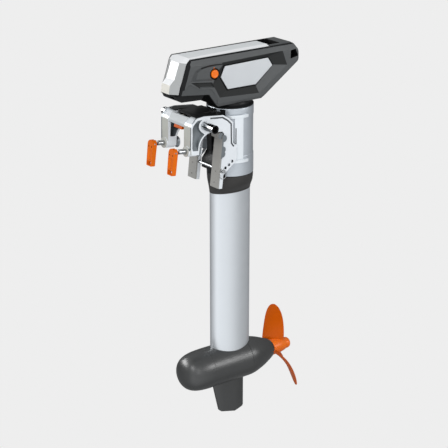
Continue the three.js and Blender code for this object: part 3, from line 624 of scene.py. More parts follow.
for hand, side in SIDES:
    arm = bevelled(arm_body(), 1.1, 2)
    paint(arm, 1, lambda c, n: n.x < -0.9 and c.x < -60 and c.z < 20)
    # Painted shade: black on the arch's wall and in the trim holes, darker grey in the engraved line, on the
    # web and in the inner pocket
    paint(arm, 2, in_arch)
    paint(arm, 3, in_line)
    paint(arm, 4, lambda c, n: c.x < -5 and ARM_OUT - 9 < c.y < ARM_OUT - 0.8 and c.z > -51 and in_web(c))
    paint(arm, 4, lambda c, n: in_hollow(c))
    paint(arm, 2, lambda c, n: trim_hole_near(c) and abs(n.y) < 0.6)
    place(mirrored(arm, side), f"{hand}_arm_cast", f"{hand}_arm", "clamp_bracket", "cast_white",
          ["cast_white", "strip_grey", "black_painted_shade", "groove_painted_shade", "web_grey"])
    pad = bevelled(transom_pad(), 0.7, 2)
    # The pad's upper outer face, under the tube, is painted darker as shade
    paint(pad, 1, lambda c, n: c.z > -84 and abs(n.y) > 0.5 and c.y > ARM_OUT - 2)
    place(mirrored(pad, side), f"{hand}_leg_pad", f"{hand}_transom_pad", "clamp_bracket",
          "pad_grey", ["pad_grey", "web_grey"])
    cap_outline = [
        (-47, 39.4), (-29, 43), (36, 43.4), (47, 37.8), (49.5, 40.5), (36.5, 46.3), (-29.5, 45.8),
        (-49, 41.8),
    ]
    cap = prism("y", cap_outline, ARM_IN, CHEEK_IN - 1 - GAP)
    cap = mirrored(bevelled(cap, 0.7, 2), side)
    place(cap, f"{hand}_cap_strip", f"{hand}_arm_cap", "clamp_bracket", "black_plastic")

beam_outline = rounded([(-67.5, 10), (-69.5, 18), (-59.5, 37), (-54, 38), (-58, 24), (-60, 10)], 1.5, 3)
beam = prism("y", beam_outline, -ARM_IN + GAP, ARM_IN - GAP)
place(bevelled(beam, 0.8, 2), "beam_front", "front_beam", "clamp_bracket", "cast_white", ["beam_white_painted_shade"])

seat = box(-12, LEG_X - 2, -ARM_IN + GAP, ARM_IN - GAP, 0, 3)
seat = cut(seat, *[box(x, x + 2, -34, 34, 2.2, 5) for x in range(-8, 40, 6)])
place(bevelled(seat, 0.4, 2), "seat_pad", "seat_plate", "clamp_bracket", "seat_rubber")


def tilt_tube():
    body = turned("y", [
        (8.6, -TUBE_HALF), (11.2, -TUBE_HALF), (TUBE_R, -TUBE_HALF + 0.8), (TUBE_R, TUBE_HALF - 0.8),
        (11.2, TUBE_HALF), (8.6, TUBE_HALF), (8, TUBE_HALF - 0.6), (8, 0.6 - TUBE_HALF), (8.6, -TUBE_HALF),
    ])
    cuts = []
    for index in range(6):
        for low, high in ((ARM_OUT + 3, TUBE_HALF - 3), (3 - TUBE_HALF, -ARM_OUT - 3)):
            slot = box(TUBE_R - 1.2, TUBE_R + 2, low, high, -1.3, 1.3)
            cuts.append(moved(slot, turn=("Y", index * math.pi / 3)))
    return cut(body, *cuts)


tube = bevelled(tilt_tube(), 0.3, 2)
# The end grooves and the bore past the arms are painted black as shade
paint(tube, 1, lambda c, n: abs(c.y) > ARM_OUT and math.hypot(c.x, c.z) < TUBE_R - 0.4)
place(tube, "tube_ribbed", "tilt_tube", "clamp_bracket", "anodised", ["tube_metal", "black_painted_shade"], at=PIVOT)

# ---- Trim pin and pull ring ----
PIN_EYE_Y = -ARM_OUT - 7.5
PULL_RING_R = 11
pin = turned("y", [
    (0, PIN_EYE_Y - 4.5), (4, PIN_EYE_Y - 4.5), (4.6, PIN_EYE_Y - 3.9), (4.6, -ARM_OUT - 3),
    (6.2, -ARM_OUT - 2.6), (6.5, -ARM_OUT - 2.2), (6.5, -ARM_OUT - GAP), (4, -ARM_OUT - GAP), (4, 77),
    (2, 80), (0, 80),
], 48)
pin = cut(pin, rod("x", 2.2, -10, 10, 32, (0, PIN_EYE_Y, 0)))
place(pin, "pin_steel", "trim_pin", "pin", "steel", at=trim_hole(0))

hole = trim_hole(0)
wire = [(PULL_RING_R + u, v) for u, v in circle(1, 14)]
place(turned("y", wire + wire[:1], 72), "ring_wire", "trim_pin_ring", "pull_ring", "steel",
      at=(hole[0], PIN_EYE_Y, hole[2] - PULL_RING_R))

# ---- Clamp screws ----
SHANK_FRONT = HANDLE_X + 15
SCREW_HOLES_U = (-7, 7)
SCREW_HOLE_V = -8


def clamp_screw():
    profile = [(0, SHANK_FRONT), (5.6, SHANK_FRONT), (7, SHANK_FRONT + 1.2)]
    # Thread, from in front of the boss back to the ball end
    s = -60.0
    while s < -39:
        profile += [(7, s), (6.1, s + 1.1), (6.1, s + 1.4), (7, s + 2.5)]
        s += THREAD
    profile += [(7, -37), (4, -36), (4, -30.6), (5.2, -30), (5.8, -29.2), (5.4, -28), (4.2, -26.8), (0, -26)]
    body = turned("x", profile, 64)
    join(body, box(HANDLE_X, SHANK_FRONT + 1, -3, 3, -4.5, 4.5), rod("y", 4.5, -3, 3, 40, (HANDLE_X, 0, 0)))
    return cut(body, rod("y", 2.3, -10, 10, 32, (HANDLE_X, 0, 0)))


def clamp_pad():
    return turned("x", [
        (4.5, -31.5), (9, -31.5), (10, -31), (15.4, -24.6), (16, -23.8), (16, -21.6), (15.4, -21), (12, -21),
        (11.4, -21.5), (6, -21.5), (5.4, -21), (0, -21), (0, -24.6), (5.4, -26.4), (6.5, -29), (6.5, -30),
        (4.5, -30.6), (4.5, -31.5),
    ], 96)


def clamp_handle():
    half, low = 13.6, 12 - HANDLE_LENGTH
    outline = [(-half + 3, low), (half - 3, low), (half - 1.5, low + 3), (half, -6)]
    outline += arc(0, -3, half, 0, 180, 28)
    outline += [(-half, -6), (1.5 - half, low + 3)]
    thick = 6.5
    body = prism("x", outline, -thick, thick)
    slot = rounded([(-7.5, low + 4.5), (7.5, low + 4.5), (7.5, low + 12), (-7.5, low + 12)], 2.6)
    dish = rounded([(-8.5, low + 18), (8.5, low + 18), (9.5, -17), (-9.5, -17)], 4)
    ledge = rounded([(-9.8, low + 2.5), (9.8, low + 2.5), (9.8, low + 14), (-9.8, low + 14)], 3)
    inner = [(u * 0.5, (v + 36) * 0.9 - 36) for u, v in dish]
    faces = ((-20, 2 - thick), (thick - 2, 20))
    recess = [rod("x", 2.2, *face, 24, (0, u, SCREW_HOLE_V)) for u in SCREW_HOLES_U for face in faces]
    cut(
        body,
        prism("x", slot, -20, 20),
        box(-5.2, 20, -3.5, 3.5, -9.5, 20),
        rod("y", 2.4, -30, 30, 32),
        taper("x", dish, inner, -thick, -thick + 3.0),
        taper("x", dish, inner, thick, thick - 3.0),
        *recess,
        prism("x", ledge, -20, -1.3),
        prism("x", ledge, 1.3, 20),
    )
    return body


def in_screw_hole(c, n):
    near = any(math.hypot(c.y - u, c.z - SCREW_HOLE_V) < 2.5 for u in SCREW_HOLES_U)
    return near and abs(c.x) < 6 and abs(n.x) < 0.7


for hand, side in SIDES:
    spot = (-PORT_BACKED_OFF if side < 0 else 0, SCREW_Y * side, SCREW_Z)
    fold = (spot[0] + HANDLE_X, *spot[1:])
    place(clamp_screw(), f"{hand}_screw_thread", f"{hand}_clamp_screw", f"{hand}_screw",
          "steel", at=spot)
    disc = paint(clamp_pad(), 1, lambda c, n: n.x < -0.3 and c.x > -30)
    place(disc, f"{hand}_pad_disc", f"{hand}_clamp_pad", f"{hand}_pad", "cast_white",
          ["cast_white", "web_grey"], at=spot)
    handle = bevelled(clamp_handle(), 1.1, 3)
    # The screw holes are painted black as shade
    paint(handle, 1, in_screw_hole)
    place(handle, f"{hand}_t_handle", f"{hand}_clamp_handle",
          f"{hand}_t_handle", "orange", ["orange_handle", "black_painted_shade"], at=fold)
    pivot_pin = turned("y", [(0, -14), (1.6, -14), (2, -13.6), (2, 13.6), (1.6, 14), (0, 14)], 32)
    place(pivot_pin, f"{hand}_pivot_pin", f"{hand}_handle_pin", f"{hand}_t_handle",
          "steel", at=fold)

# ---- Tilt lock lever ----
lever = join(
    rod("y", 4.5, -19, 19, 40),
    prism("y", rounded([(-20, -8), (-19, 1), (-12, 1.5), (-2, 1.5), (0, -4.4), (-10, -8)], 1.2, 3), -22, 14),
    prism("y", [(0, -4.4), (4, -2), (7, 3), (5, 5.5), (2, 4.4)], -5, 5),
)
grips = [box(x, x + 1.6, -20, 12, 1.0, 4) for x in (-17, -13, -9)]
lever = cut(lever, rod("y", 2.3, -30, 30, 32), *grips)
place(bevelled(lever, 0.6, 2), "lock_lever_blade", "tilt_lock_lever", "lock_lever", "orange", at=LEVER_AT)
lever_pin = rod("y", 2, -ARM_IN + GAP, ARM_IN - GAP, 32)
place(lever_pin, "lever_pin", "lock_lever_pin", "clamp_bracket", "steel", at=LEVER_AT)

# ---- Swivel housing ----
axis_point = TILTED @ Vector(PIVOT)
AXIS_X, AXIS_Z = axis_point.x - STEER_X, axis_point.z
BUSH_R = TUBE_R + 2.4
LUG_R = 16.2
LUG_IN, LUG_OUT = 22, 34
STRAPS = ((22, 31), (-108, -99))
SLOT_TURN = 90 + 23


def strap(z0, z1, start, end, out=4.5):
    outline = arc(0, 0, BARREL_R + out, start, end, 24) + arc(0, 0, BARREL_R - 4, end, start, 24)
    return prism("z", outline, z0, z1)


def swivel_housing():
    # How far the barrel's wall stands inside its full radius, and the height
    inset = [
        (2, BARREL_LOW), (0.5, BARREL_LOW + 0.8), (0, BARREL_LOW + 2), (0, -92.5), (0.3, -91.5), (1.2, -90.5),
        (1.2, 20.5), (0.3, 21.5), (0, 22.5), (0, BARREL_TOP - 2), (0.6, BARREL_TOP - 0.6), (2, BARREL_TOP),
    ]
    wall = [(BARREL_R - depth, z) for depth, z in inset]
    body = turned("z", [(0, BARREL_LOW), *wall, (0, BARREL_TOP)], 128)
    lug = [
        (AXIS_X, AXIS_Z - LUG_R + 2), (AXIS_X + 20, AXIS_Z - LUG_R + 2), (-64, 4), (-58, -40), (-50, -40),
        (-50, 40), (-70, 43), (AXIS_X + 14, AXIS_Z + LUG_R - 0.7), (AXIS_X, AXIS_Z + LUG_R - 2),
    ]
    thrust = [(-77.4, -106), (-77.4, -132), (-50, -145), (-50, -70)]
    rib = [(-50, -60), (-71, -80), (-72, -40), (-68, -12), (-50, -5)]
    parts = [prism("y", thrust, -30.5, 30.5), prism("y", rib, -9, 9)]
    for _, side in SIDES:
        low, high = (LUG_IN, LUG_OUT) if side > 0 else (-LUG_OUT, -LUG_IN)
        parts.append(prism("y", lug, low, high))
        parts.append(rod("y", LUG_R, low, high, 64, (AXIS_X, 0, AXIS_Z)))
        middle = side * 90
        for z0, z1 in STRAPS:
            ends = sorted((middle - side * 10, middle + side * 45))
            parts.append(strap(z0, z1, *ends))
        # Upright column between the two straps
        ends = sorted((middle + side * 4, middle + side * 26))
        parts.append(strap(-101, 24, *ends, 2.4))
    body = join(body, *parts)
    slots = []
    for _, side in SIDES:
        middle = side * SLOT_TURN
        outline = arc(0, 0, BARREL_R + 6, middle - 1.3, middle + 1.3, 3)
        outline += arc(0, 0, BARREL_R - 4, middle + 1.3, middle - 1.3, 3)
        slots.append(prism("z", outline, -52, -6))
    return cut(
        body,
        rod("z", BARREL_BORE, BARREL_LOW - 1, BARREL_TOP + 1, 96),
        rod("y", BUSH_R + GAP, -60, 60, 64, (AXIS_X, 0, AXIS_Z)),
        *slots,
    )


def in_slot(c):
    turn = abs(math.degrees(math.atan2(c.y, c.x)))
    return abs(turn - SLOT_TURN) < 1.8 and -54 < c.z < -4


def on_strap_top(c, n):
    return n.z > 0.6 and math.hypot(c.x, c.y) > BARREL_R + 1 and any(-2 < c.z - top < 1 for _, top in STRAPS)


housing = bevelled(swivel_housing(), 0.9, 2, 40)
paint(housing, 1, lambda c, n: c.x < -48 and abs(c.y) < 45 and c.z < 40)
paint(housing, 2, lambda c, n: math.hypot(c.x, c.y) > BARREL_R + 0.4 and abs(c.x) < 56 and abs(c.y) > 42)
# The slots are painted black and the straps' tops darker grey, as shade
paint(housing, 1, lambda c, n: in_slot(c) and abs(n.x * c.x + n.y * c.y) < 60)
paint(housing, 3, on_strap_top, 2)
place(housing, "swivel_cast", "swivel_housing", "swivel", "silver_paint",
      ["silver_paint", "black_plastic", "strap_silver", "groove_painted_shade"])

hood_outline = arc(AXIS_X, AXIS_Z, 24.5, 123, 90, 12) + [(-74, 47), (-70, 44), (-74, 43.6)]
hood_outline += [(AXIS_X + 15, AXIS_Z + 18.5)] + arc(AXIS_X, AXIS_Z, 18.5, 90, 123, 12)
hood = cut(prism("y", hood_outline, -35, 35), rod("z", BARREL_R + GAP, 0, 80, 128))
place(bevelled(hood, 0.8, 2), "hood_cover", "bracket_hood", "swivel", "black_plastic")

# ---- Steered column ----
def collar():
    sections = [
        (-149.6, 65, 65), (-150.4, 66.2, 66.2), (-153, 66.6, 66.6), (-165, 66.3, 65), (-176, 66, 62),
        (-184, 66.3, 55.5), (-192, 66.8, 48), (-198, 67.3, 42.5), (COLLAR_LOW + 4, 67.6, 38.8),
        (COLLAR_LOW + 0.8, 67.6, 38.2), (COLLAR_LOW, 67.0, 37.6),
    ]
    rings = [[(u, v, z) for u, v in circle(a, 128, radius_v=b)] for z, a, b in sections]
    body = join(loft(rings), prism("z", foil(SHAFT_WALL + GAP, 128), -232, -204))
    return cut(body, rod("z", STEM_R + GAP, -175.3, -100, 96), rod("z", 14, -300, -100, 48))


place(collar(), "collar_boot", "shaft_collar", "column", "black_plastic", ["collar_rubber"])

shaft = prism("z", foil(0, 192), POD_Z + 30, COLLAR_LOW - GAP)
shaft = cut(
    shaft,
    prism("z", foil(SHAFT_WALL, 192), POD_Z - 20, 0),
    rod("x", SADDLE_R + GAP, -200, 200, 160, (0, 0, POD_Z)),
)
place(shaft, "shaft_extrusion", "shaft_tube", "column", "anodised")


# ---- Pod ----
def pod_housing():
    step = POD_R - SADDLE_STEP
    body = turned("x", [
        (0, NOSE_JOINT), (step, NOSE_JOINT), (step, SADDLE_BACK), (POD_R, SADDLE_BACK + 0.5), (59.2, 54),
        (58.6, 62), (57.1, 71), (54.9, 80), (52.3, 89), (49.6, 98), (46.6, 107), (43.3, 115), (40.1, 123),
        (36.6, 131), (33, 139), (29.4, 146), (26.5, TAIL_END - 1.6), (25.6, TAIL_END - 0.3),
        (24.8, TAIL_END), (0, TAIL_END),
    ], 160)
    back = SADDLE_BACK + 0.2
    lower = common(rod("x", POD_R, NOSE_JOINT, back, 160), box(NOSE_JOINT - 5, back + 5, -90, 90, -90, 1))
    inside = turned("x", [
        (0, NOSE_JOINT - 5), (50, NOSE_JOINT - 5), (50, -80), (53, -79), (53, 62), (46.5, 84), (30, 120),
        (DRIVE_R + 4, 128), (DRIVE_R + 4, TAIL_END + 5), (0, TAIL_END + 5),
    ], 96)
    foot = prism("z", foil(SHAFT_WALL + GAP, 96), 45, 76)
    return cut(join(body, lower, foot), inside, rod("z", 7, 0, 100, 48))


place(pod_housing(), "pod_cast", "pod_housing", "column", "pod_grey", at=POD_AT)

saddle_in = POD_R - SADDLE_STEP + GAP
saddle_band = turned("x", [
    (saddle_in, NOSE_JOINT + GAP), (SADDLE_R - 0.6, NOSE_JOINT + GAP), (SADDLE_R, NOSE_JOINT + 1.2),
    (SADDLE_R, SADDLE_BACK - 1.2), (SADDLE_R - 0.6, SADDLE_BACK - GAP), (saddle_in, SADDLE_BACK - GAP),
    (saddle_in, NOSE_JOINT + GAP),
], 160)
saddle = common(saddle_band, box(-200, 200, -90, 90, 1 + GAP, 90))
saddle = cut(saddle, prism("z", foil(SHAFT_WALL, 96), 0, 90))
place(bevelled(saddle, 0.4, 2, 50), "saddle_skin", "saddle_cover", "column", "pod_grey", at=POD_AT)


def nose_cone():
    length = NOSE_JOINT - NOSE_TIP
    steps = 30
    profile = [(0, NOSE_TIP)]
    for i in range(1, steps + 1):
        t = (i / steps) ** 1.35
        s = 1 - t
        profile.append((NOSE_R * (1 - s ** 2.15) ** (1 / 2.05), NOSE_TIP + length * t * (0.35 + 0.65 * t)))
    profile[-1] = (NOSE_R, NOSE_JOINT - GAP)
    profile += [(49.6, NOSE_JOINT - GAP), (49.6, NOSE_JOINT + 8), (40, NOSE_JOINT + 8), (40, NOSE_JOINT)]
    profile += [(50, NOSE_JOINT - 5), (47, -112), (40, -132), (30, -148), (16, -162), (0, -168)]
    return turned("x", profile, 160)


place(nose_cone(), "nose_cast", "nose_cone", "column", "pod_grey", at=POD_AT)


def skeg():
    outline = [(-66, -52), (-40, -152)]
    for k in range(1, 9):
        t = k / 8
        outline.append((
            -40 * (1 - t) ** 2 - 38 * 2 * t * (1 - t) - 32 * t * t,
            -152 * (1 - t) ** 2 - 158 * 2 * t * (1 - t) - 159 * t * t,
        ))
    outline += [(15, -171), (47, -164), (50, -160), (50, -50)]
    half = [(-70, 0.0), (-66, 1.5), (-62, 2.6), (-56, 3.8), (-50, 4.7), (-40, 5.8), (-30, 6.4), (-10, 6.5),
            (10, 6.5), (22, 6.3), (32, 5.5), (42, 4.0), (48, 2.4), (51, 1.2)]
    section = half + [(u, -v) for u, v in half[:0:-1]]
    body = common(prism("y", outline, -7, 7), prism("z", section, -200, 0))
    return cut(body, rod("x", POD_R + GAP, -120, 120, 128))


place(bevelled(skeg(), 0.8, 2, 50), "skeg_fin", "skeg", "column", "pod_grey", at=POD_AT)


# ---- Propeller ----
def blade_rings():
    stations, around = 48, 18
    rings = []
    for i in range(stations):
        t = 1 - (1 - i / (stations - 1)) ** 1.4
        r = BLADE_ROOT_R + (PROP_R - BLADE_ROOT_R) * t
        root = max(0.0, 1 - t / 0.13)
        bow = 7 * math.sin(math.pi * t)
        fullness = max(max(1 - t ** 4.2, 0.0) ** 0.5, 0.03)
        chord = BLADE_CHORD * (1 - 0.5 * root) * fullness
        thick = BLADE_THICK * (1 - 0.68 * t)
        pitch = math.atan(PITCH / (2 * math.pi * max(r, 34)))
        ring_points = []
        for k in range(2 * around):
            u = k / around if k <= around else (2 * around - k) / around
            u = 0.5 - 0.5 * math.cos(math.pi * u)
            side = 0.5 if k < around else -0.5
            c = (u - 0.5) * chord
            h = side * thick * math.sin(math.pi * u ** 0.8)
            axial = c * math.sin(pitch) - h * math.cos(pitch) + bow + 11 * root
            swing = c * math.cos(pitch) + h * math.sin(pitch) - bow
            angle = -swing / max(r, 24)
            ring_points.append((axial, r * math.sin(angle), r * math.cos(angle)))
        rings.append(ring_points)
    return rings


def propeller():
    hub = turned("x", [
        (DRIVE_R + GAP, 154.5), (21.4, 154.5), (22.6, 155.2), (24.5, 158), (24.6, 168), (24, 180),
        (22.8, 189), (21, 198), (19.6, HUB_END - 0.4), (19, HUB_END), (DRIVE_R + GAP, HUB_END),
        (DRIVE_R + GAP, 154.5),
    ], 96)
    blades = []
    for index in range(BLADES):
        turn = math.radians(3.5) + index * 2 * math.pi / BLADES
        blade = moved(loft(blade_rings()), (163, 0, 0))
        blades.append(moved(blade, turn=("X", turn)))
    # Room for the pod's tail ahead of the blade roots
    tail = turned("x", [
        (0, 115), (41, 115), (34.8, 139), (31.2, 146), (28.2, TAIL_END - 1), (26, TAIL_END + 1),
        (0, TAIL_END + 1),
    ], 96)
    bore = rod("x", DRIVE_R + GAP, 140, 240, 64)
    return cut(join(hub, *blades), bore, tail, rod("z", 2.3, -17, 17, 32, (166, 0, 0)))


# The hub and the blade roots are painted a lighter orange as highlight
screw = paint(propeller(), 1, lambda c, n: math.hypot(c.y, c.z) < 27)
screw = place(screw, "propeller_blades", "propeller", "propulsion", "orange",
              ["orange", "orange_painted_light"], at=POD_AT, sharp=50)
# Left out of reflections in the other pieces
screw.visible_glossy = False
nut = turned("x", shifted([
    (0, 13), (DRIVE_R - 2 + GAP, 13), (DRIVE_R - 2 + GAP, GAP), (15.4, GAP), (16.2, 0.8), (17, 3), (17.2, 8),
    (16.9, 13), (16.2, 16), (14.6, 18.6), (12, 20.4), (7, 21.3), (0, 21.5),
], HUB_END), 96)
flutes = [box(HUB_END + 4, HUB_END + 30, -1.2, 1.2, 15.9, 20) for _ in range(8)]
nut = cut(nut, *[moved(flute, turn=("X", i * math.pi / 4)) for i, flute in enumerate(flutes)])
place(bevelled(nut, 0.3, 2, 40), "propeller_cap", "propeller_nut", "propulsion", "orange",
      ["orange_painted_light"], at=POD_AT)

# ---- Battery head ----
neck_rim = [
    (0, 3.6), (STEM_R + 1, 3.6), (STEM_R + 1, GAP), (BARREL_R - 1.4, GAP), (BARREL_R - 0.4, 0.7),
    (BARREL_R, 1.6), (BARREL_R, 2.8), (BARREL_R - 0.8, 3.8), (61, 4.6), (58.5, 5.6), (57, 8),
]
neck = turned("z", [*shifted(neck_rim, BARREL_TOP), (56, HEAD_FLOOR - GAP), (0, HEAD_FLOOR - GAP)], 128)
neck = cut(neck, rod("z", 8, 30, 90, 48))
place(neck, "neck_disc", "head_neck", "column", "black_plastic")

# The front steps back towards the sides: x at heights 110, 135, 150, 194 and 206
FRONT = {
    19: (HEAD_FRONT, -218, -202.5, -186.5, -162),
    42: (-203, -196.5, -191, -176.5, -165),
    52: (-196.5, -190, -184, -170, -163),
    60: (-191, -184, -178, -165, -161),
}
SIDE_RADII = [2, 2, 3, 3, 3, 30, 6, 4, 8, 4, 3, 8, 6, 10, 6]


def side_outline(y):
    foot, lip, knee, panel, edge = FRONT[abs(y)]
    return rounded([
        (foot, 110), (lip, 135), (knee, 150), (panel, 194), (edge, 206), (112, 208.5), (184, 207), (191, 201),
        (206, 180), (210, 160), (206, 154), (72, HEAD_FLOOR), (-80, HEAD_FLOOR), (-108, 100),
        (foot + 22, 108),
    ], SIDE_RADII)


shell_section = rounded([
    (-48, 50), (-HEAD_HALF, 70), (-HEAD_HALF, 187), (-47, 201.8), (-44.5, 204.3), (-TRIM_Y, 204.5),
    (-36, 206.8), (36, 206.8), (TRIM_Y, 204.5), (44.5, 204.3), (47, 201.8), (HEAD_HALF, 187), (HEAD_HALF, 70),
    (48, 50),
], [3, 6, 3, 1, 1, 0.5, 2, 2, 0.5, 1, 1, 3, 6, 3])
cover_section = [
    (-50, 50), (-50, 200), (-TRIM_Y, 203), (-CENTRE_Y, 207.5), (CENTRE_Y, 207.5), (TRIM_Y, 203), (50, 200),
    (50, 50),
]
plan_outline = rounded([
    (-230, -HEAD_HALF), (201, -HEAD_HALF), (208, -48), (212, -38), (212, 38), (208, 48), (201, HEAD_HALF),
    (-230, HEAD_HALF),
], [0, 3, 3, 3, 3, 3, 3, 0])
COVER_BAND = [
    (-240, 112), (-198, 112), (-189, 128), (-164, 188), (-156, 196), (110, 197.5), (110, 230), (-240, 230),
]
BADGE = [(-52, 171), (98, 173.5), (114, 150), (55, 104), (-42, 105), (-66, 142)]
RECESS_EDGE = [(-66, 184), (146, 188), (163, 145), (63, 79), (-74, 87), (-98, 129)]
RECESS_FLOOR = [(-56, 173.5), (101, 176.5), (119, 150.5), (57, 99.5), (-44.5, 100.5), (-70.5, 142)]
CHANNEL_EDGE = [
    (-173, 146), (-157, 173), (-138, 180), (-112, 183), (-84, 183), (-60, 181), (-97, 139), (-112, 140),
]
CHANNEL_FLOOR = [
    (-150, 148), (-145, 166), (-132, 174), (-112, 177), (-84, 178), (-60, 177), (-92, 143), (-112, 143.5),
]
WEDGE_EDGE = [(-171, 143), (-100, 134), (-92, 118), (-141, 122.5)]
WEDGE_FLOOR = [(-150, 137), (-100, 130.5), (-96, 121), (-138, 126.5)]


def head_body(section):
    sides = [[(u, y, v) for u, v in side_outline(y)] for y in (-60, -52, -42, -19, 19, 42, 52, 60)]
    return common(loft(sides), prism("x", section, -230, 230), prism("z", plan_outline, 40, 220))


def head_shells():
    cavity = prism("y", [
        (-186, 116), (-150, 188), (106, 191), (106, 152), (186, 152), (74, 66), (-76, 66), (-104, 105),
        (-190, 113),
    ], -40, 40)
    opening = prism("z", rounded([(112, -33), (152, -33), (152, 33), (112, 33)], 5), 160, 240)
    notch = prism("y", rounded([(175, 161), (203, 166), (193, 188), (176, 184.5)], 1.5), -80, 80)
    under = prism("y", [(150, 162), (190, 162), (190, 186), (150, 186)], -TRIM_Y, TRIM_Y)
    socket = box(-26, 26, -16, 16, 40, 80)
    cover_room = prism("y", COVER_BAND, -TRIM_Y, TRIM_Y)
    body = cut(head_body(shell_section), cavity, opening, under, notch, socket, cover_room)
    for _, side in SIDES:
        edge, floor = side * HEAD_HALF, side * (HEAD_HALF - RECESS)
        cut(
            body,
            taper("y", RECESS_EDGE, RECESS_FLOOR, edge, floor),
            taper("y", CHANNEL_EDGE, CHANNEL_FLOOR, edge, side * (HEAD_HALF - CHANNEL)),
            taper("y", WEDGE_EDGE, WEDGE_FLOOR, edge, side * (HEAD_HALF - WEDGE)),
        )
        # Shallow face that falls away below the front
        low, step, out = side * (HEAD_HALF - 5), side * (HEAD_HALF - 2.4), edge + side * 6
        outside = [
            (-176, 139), (-141, 120), (-101, 115), (-80, 84), (-84, 50), (-120, 80), (-198, 90), (-215, 105),
        ]
        wedge = loft([
            [(-176, step, 139), (-141, step, 120), (-101, step, 115), (-80, edge, 84),
             (-84, low, 62), (-112, low, 98), (-198, low, 104), (-210, low, 112)],
            [(u, out, v) for u, v in outside],
        ])
        cut(body, wedge)
        cut(body, rod("y", BUTTON_R + GAP, -20, 20, 64, (BUTTON[0], side * (HEAD_HALF - 4), BUTTON[1])))
        around = sorted((side * (HEAD_HALF - 6.5), side * (HEAD_HALF + 20)))
        cut(body, rod("y", RING_R, *around, 64, (BUTTON[0], 0, BUTTON[1])))
    return body


def black_part(c, n):
    """Trim band at the front, and the bead along the top edges."""
    front = n.x < -0.25 and c.x < -150 and abs(c.y) > 30
    bead = abs(c.y) < 47.6 and c.z > 201.6 and c.x < 196 and (c.x < 108 or abs(c.y) > 41)
    return front or bead


def shade_painted_faces(c, n):
    """Painted shade on the wedge's floor, and on walls of recess and channel except those that look up and
    forward.
    """
    if not (HEAD_HALF - RECESS < abs(c.y) < HEAD_HALF - 0.5 and -175 < c.x < 166 and 78 < c.z < 190):
        return False
    if abs(HEAD_HALF - abs(c.y) - WEDGE) < 0.2 and -152 < c.x < -92 and 120 < c.z < 138:
        return True
    floor = abs(n.y) > (0.9 if c.x < -100 else 0.995)
    looks_up = (n.x < -0.1 and n.z > 0.08) or (c.x < -90 and n.z > -0.12 and n.x < 0.2)
    return not floor and not looks_up


def black_shade_painted_faces(c, n):
    """Painted black shade on recess floors, the button's ring, and everything behind the openings."""
    floor = abs(n.y) > 0.9 and 43 < abs(c.y) < HEAD_HALF - RECESS + 0.5
    around = math.hypot(c.x - BUTTON[0], c.z - BUTTON[1]) < RING_R + 1.2 and abs(c.y) < HEAD_HALF - 4.6
    inside = abs(c.y) < 41.5 and c.z < 198
    opening = 108 < c.x < 156 and abs(c.y) < 34 and abs(n.z) < 0.6
    notch = 172 < c.x < 205 and 160 < c.z < 189 and abs(n.y) < 0.6 and n.x < 0.7
    return floor or around or inside or opening or notch


shells = head_shells()
for hand, side in SIDES:
    low, high = (GAP / 2, 90) if side > 0 else (-90, -GAP / 2)
    half = shells.copy()
    half.data = shells.data.copy()
    bpy.context.scene.collection.objects.link(half)
    # Painted shade on recess and channel walls, down-facing edges and the underside at the front, painted
    # highlight on the other bevelled edges, and painted black shade in floors, the button's ring and behind
    # the openings
    half = bevelled(common(half, box(-300, 300, low, high, 0, 300)), 1.2, 2, 7, 4)
    paint(half, 3, shade_painted_faces, 0)
    paint(half, 3, lambda c, n: n.z < -0.25, 4)
    paint(half, 3, lambda c, n: c.x < -78 and n.z < -0.3 and c.z < 112 and abs(c.y) < 51)
    paint(half, 2, black_part)
    paint(half, 1, black_shade_painted_faces)
    place(half, f"{hand}_shell", f"{hand}_head_shell", "battery_head", "shell_grey",
          ["shell_grey", "black_painted_shade", "black_plastic", "shell_painted_shade", "shell_painted_edge_highlight"], sharp=8)
    tick = prism("y", rounded([(-92, 171), (-88, 171), (-88, 173), (-92, 173)], 0.8), 46, 47.9)
    place(mirrored(tick, side), f"{hand}_button_tick", None, "battery_head", "orange", ["orange_painted_light"])
    badge = prism("y", rounded(BADGE, 3), HEAD_HALF - RECESS + GAP, HEAD_HALF - RECESS + 2.6)
    badge = mirrored(bevelled(badge, 0.7, 2), side)
    place(badge, f"{hand}_badge", f"{hand}_badge_plate", "battery_head", "badge")
    button = turned("y", shifted([
        (0, -9), (BUTTON_R - 2, -9), (BUTTON_R, -7), (BUTTON_R, -2.8), (BUTTON_R - 0.4, -2),
        (BUTTON_R - 1.2, -1.4), (BUTTON_R - 2.4, -1.1), (BUTTON_R - 3.2, -1.4), (0, -1.6),
    ], HEAD_HALF), 96)
    place(mirrored(button, side), f"{hand}_button_cap", f"{hand}_release_button",
          f"{hand}_button", "orange", ["orange_painted_light"], at=(BUTTON[0], 0, BUTTON[1]))
bpy.data.objects.remove(shells)


def top_cover():
    body = common(head_body(cover_section), prism("y", COVER_BAND, -TRIM_Y + GAP, TRIM_Y - GAP))
    # Groove between the lower lip and the front panel
    step = [(-230, 134.6), (-217.2, 134.6), (-216.2, 136), (-230, 136)]
    return cut(body, prism("y", step, -60, 60))


cover = bevelled(top_cover(), 0.8, 2, 7)
paint(cover, 2, lambda c, n: c.z < 135.2)
paint(cover, 1, lambda c, n: abs(c.y) > 19.3 and n.x < -0.3 and c.z < 200)
paint(cover, 3, lambda c, n: n.z > 0.995 and c.x > -160 and c.x < 104 and abs(c.y) < CENTRE_Y)
place(cover, "cover_shell", "head_top_cover", "battery_head", "cover_white",
      ["cover_white", "cover_texture", "cover_lip", "cover_centre"], sharp=7)


def head_base():
    outline = rounded([
        (-209, 107.2), (-203, 94), (-190, 87), (-124, 84), (-112, 98), (-116, 100), (-196, 107.2),
    ], [1, 4, 4, 4, 1, 1, 1])
    return cut(prism("y", outline, -34, 34), box(-230, -180, -20, -2, 92, 102))


place(bevelled(head_base(), 1.2, 2), "base_block", "head_base", "battery_head", "black_plastic")

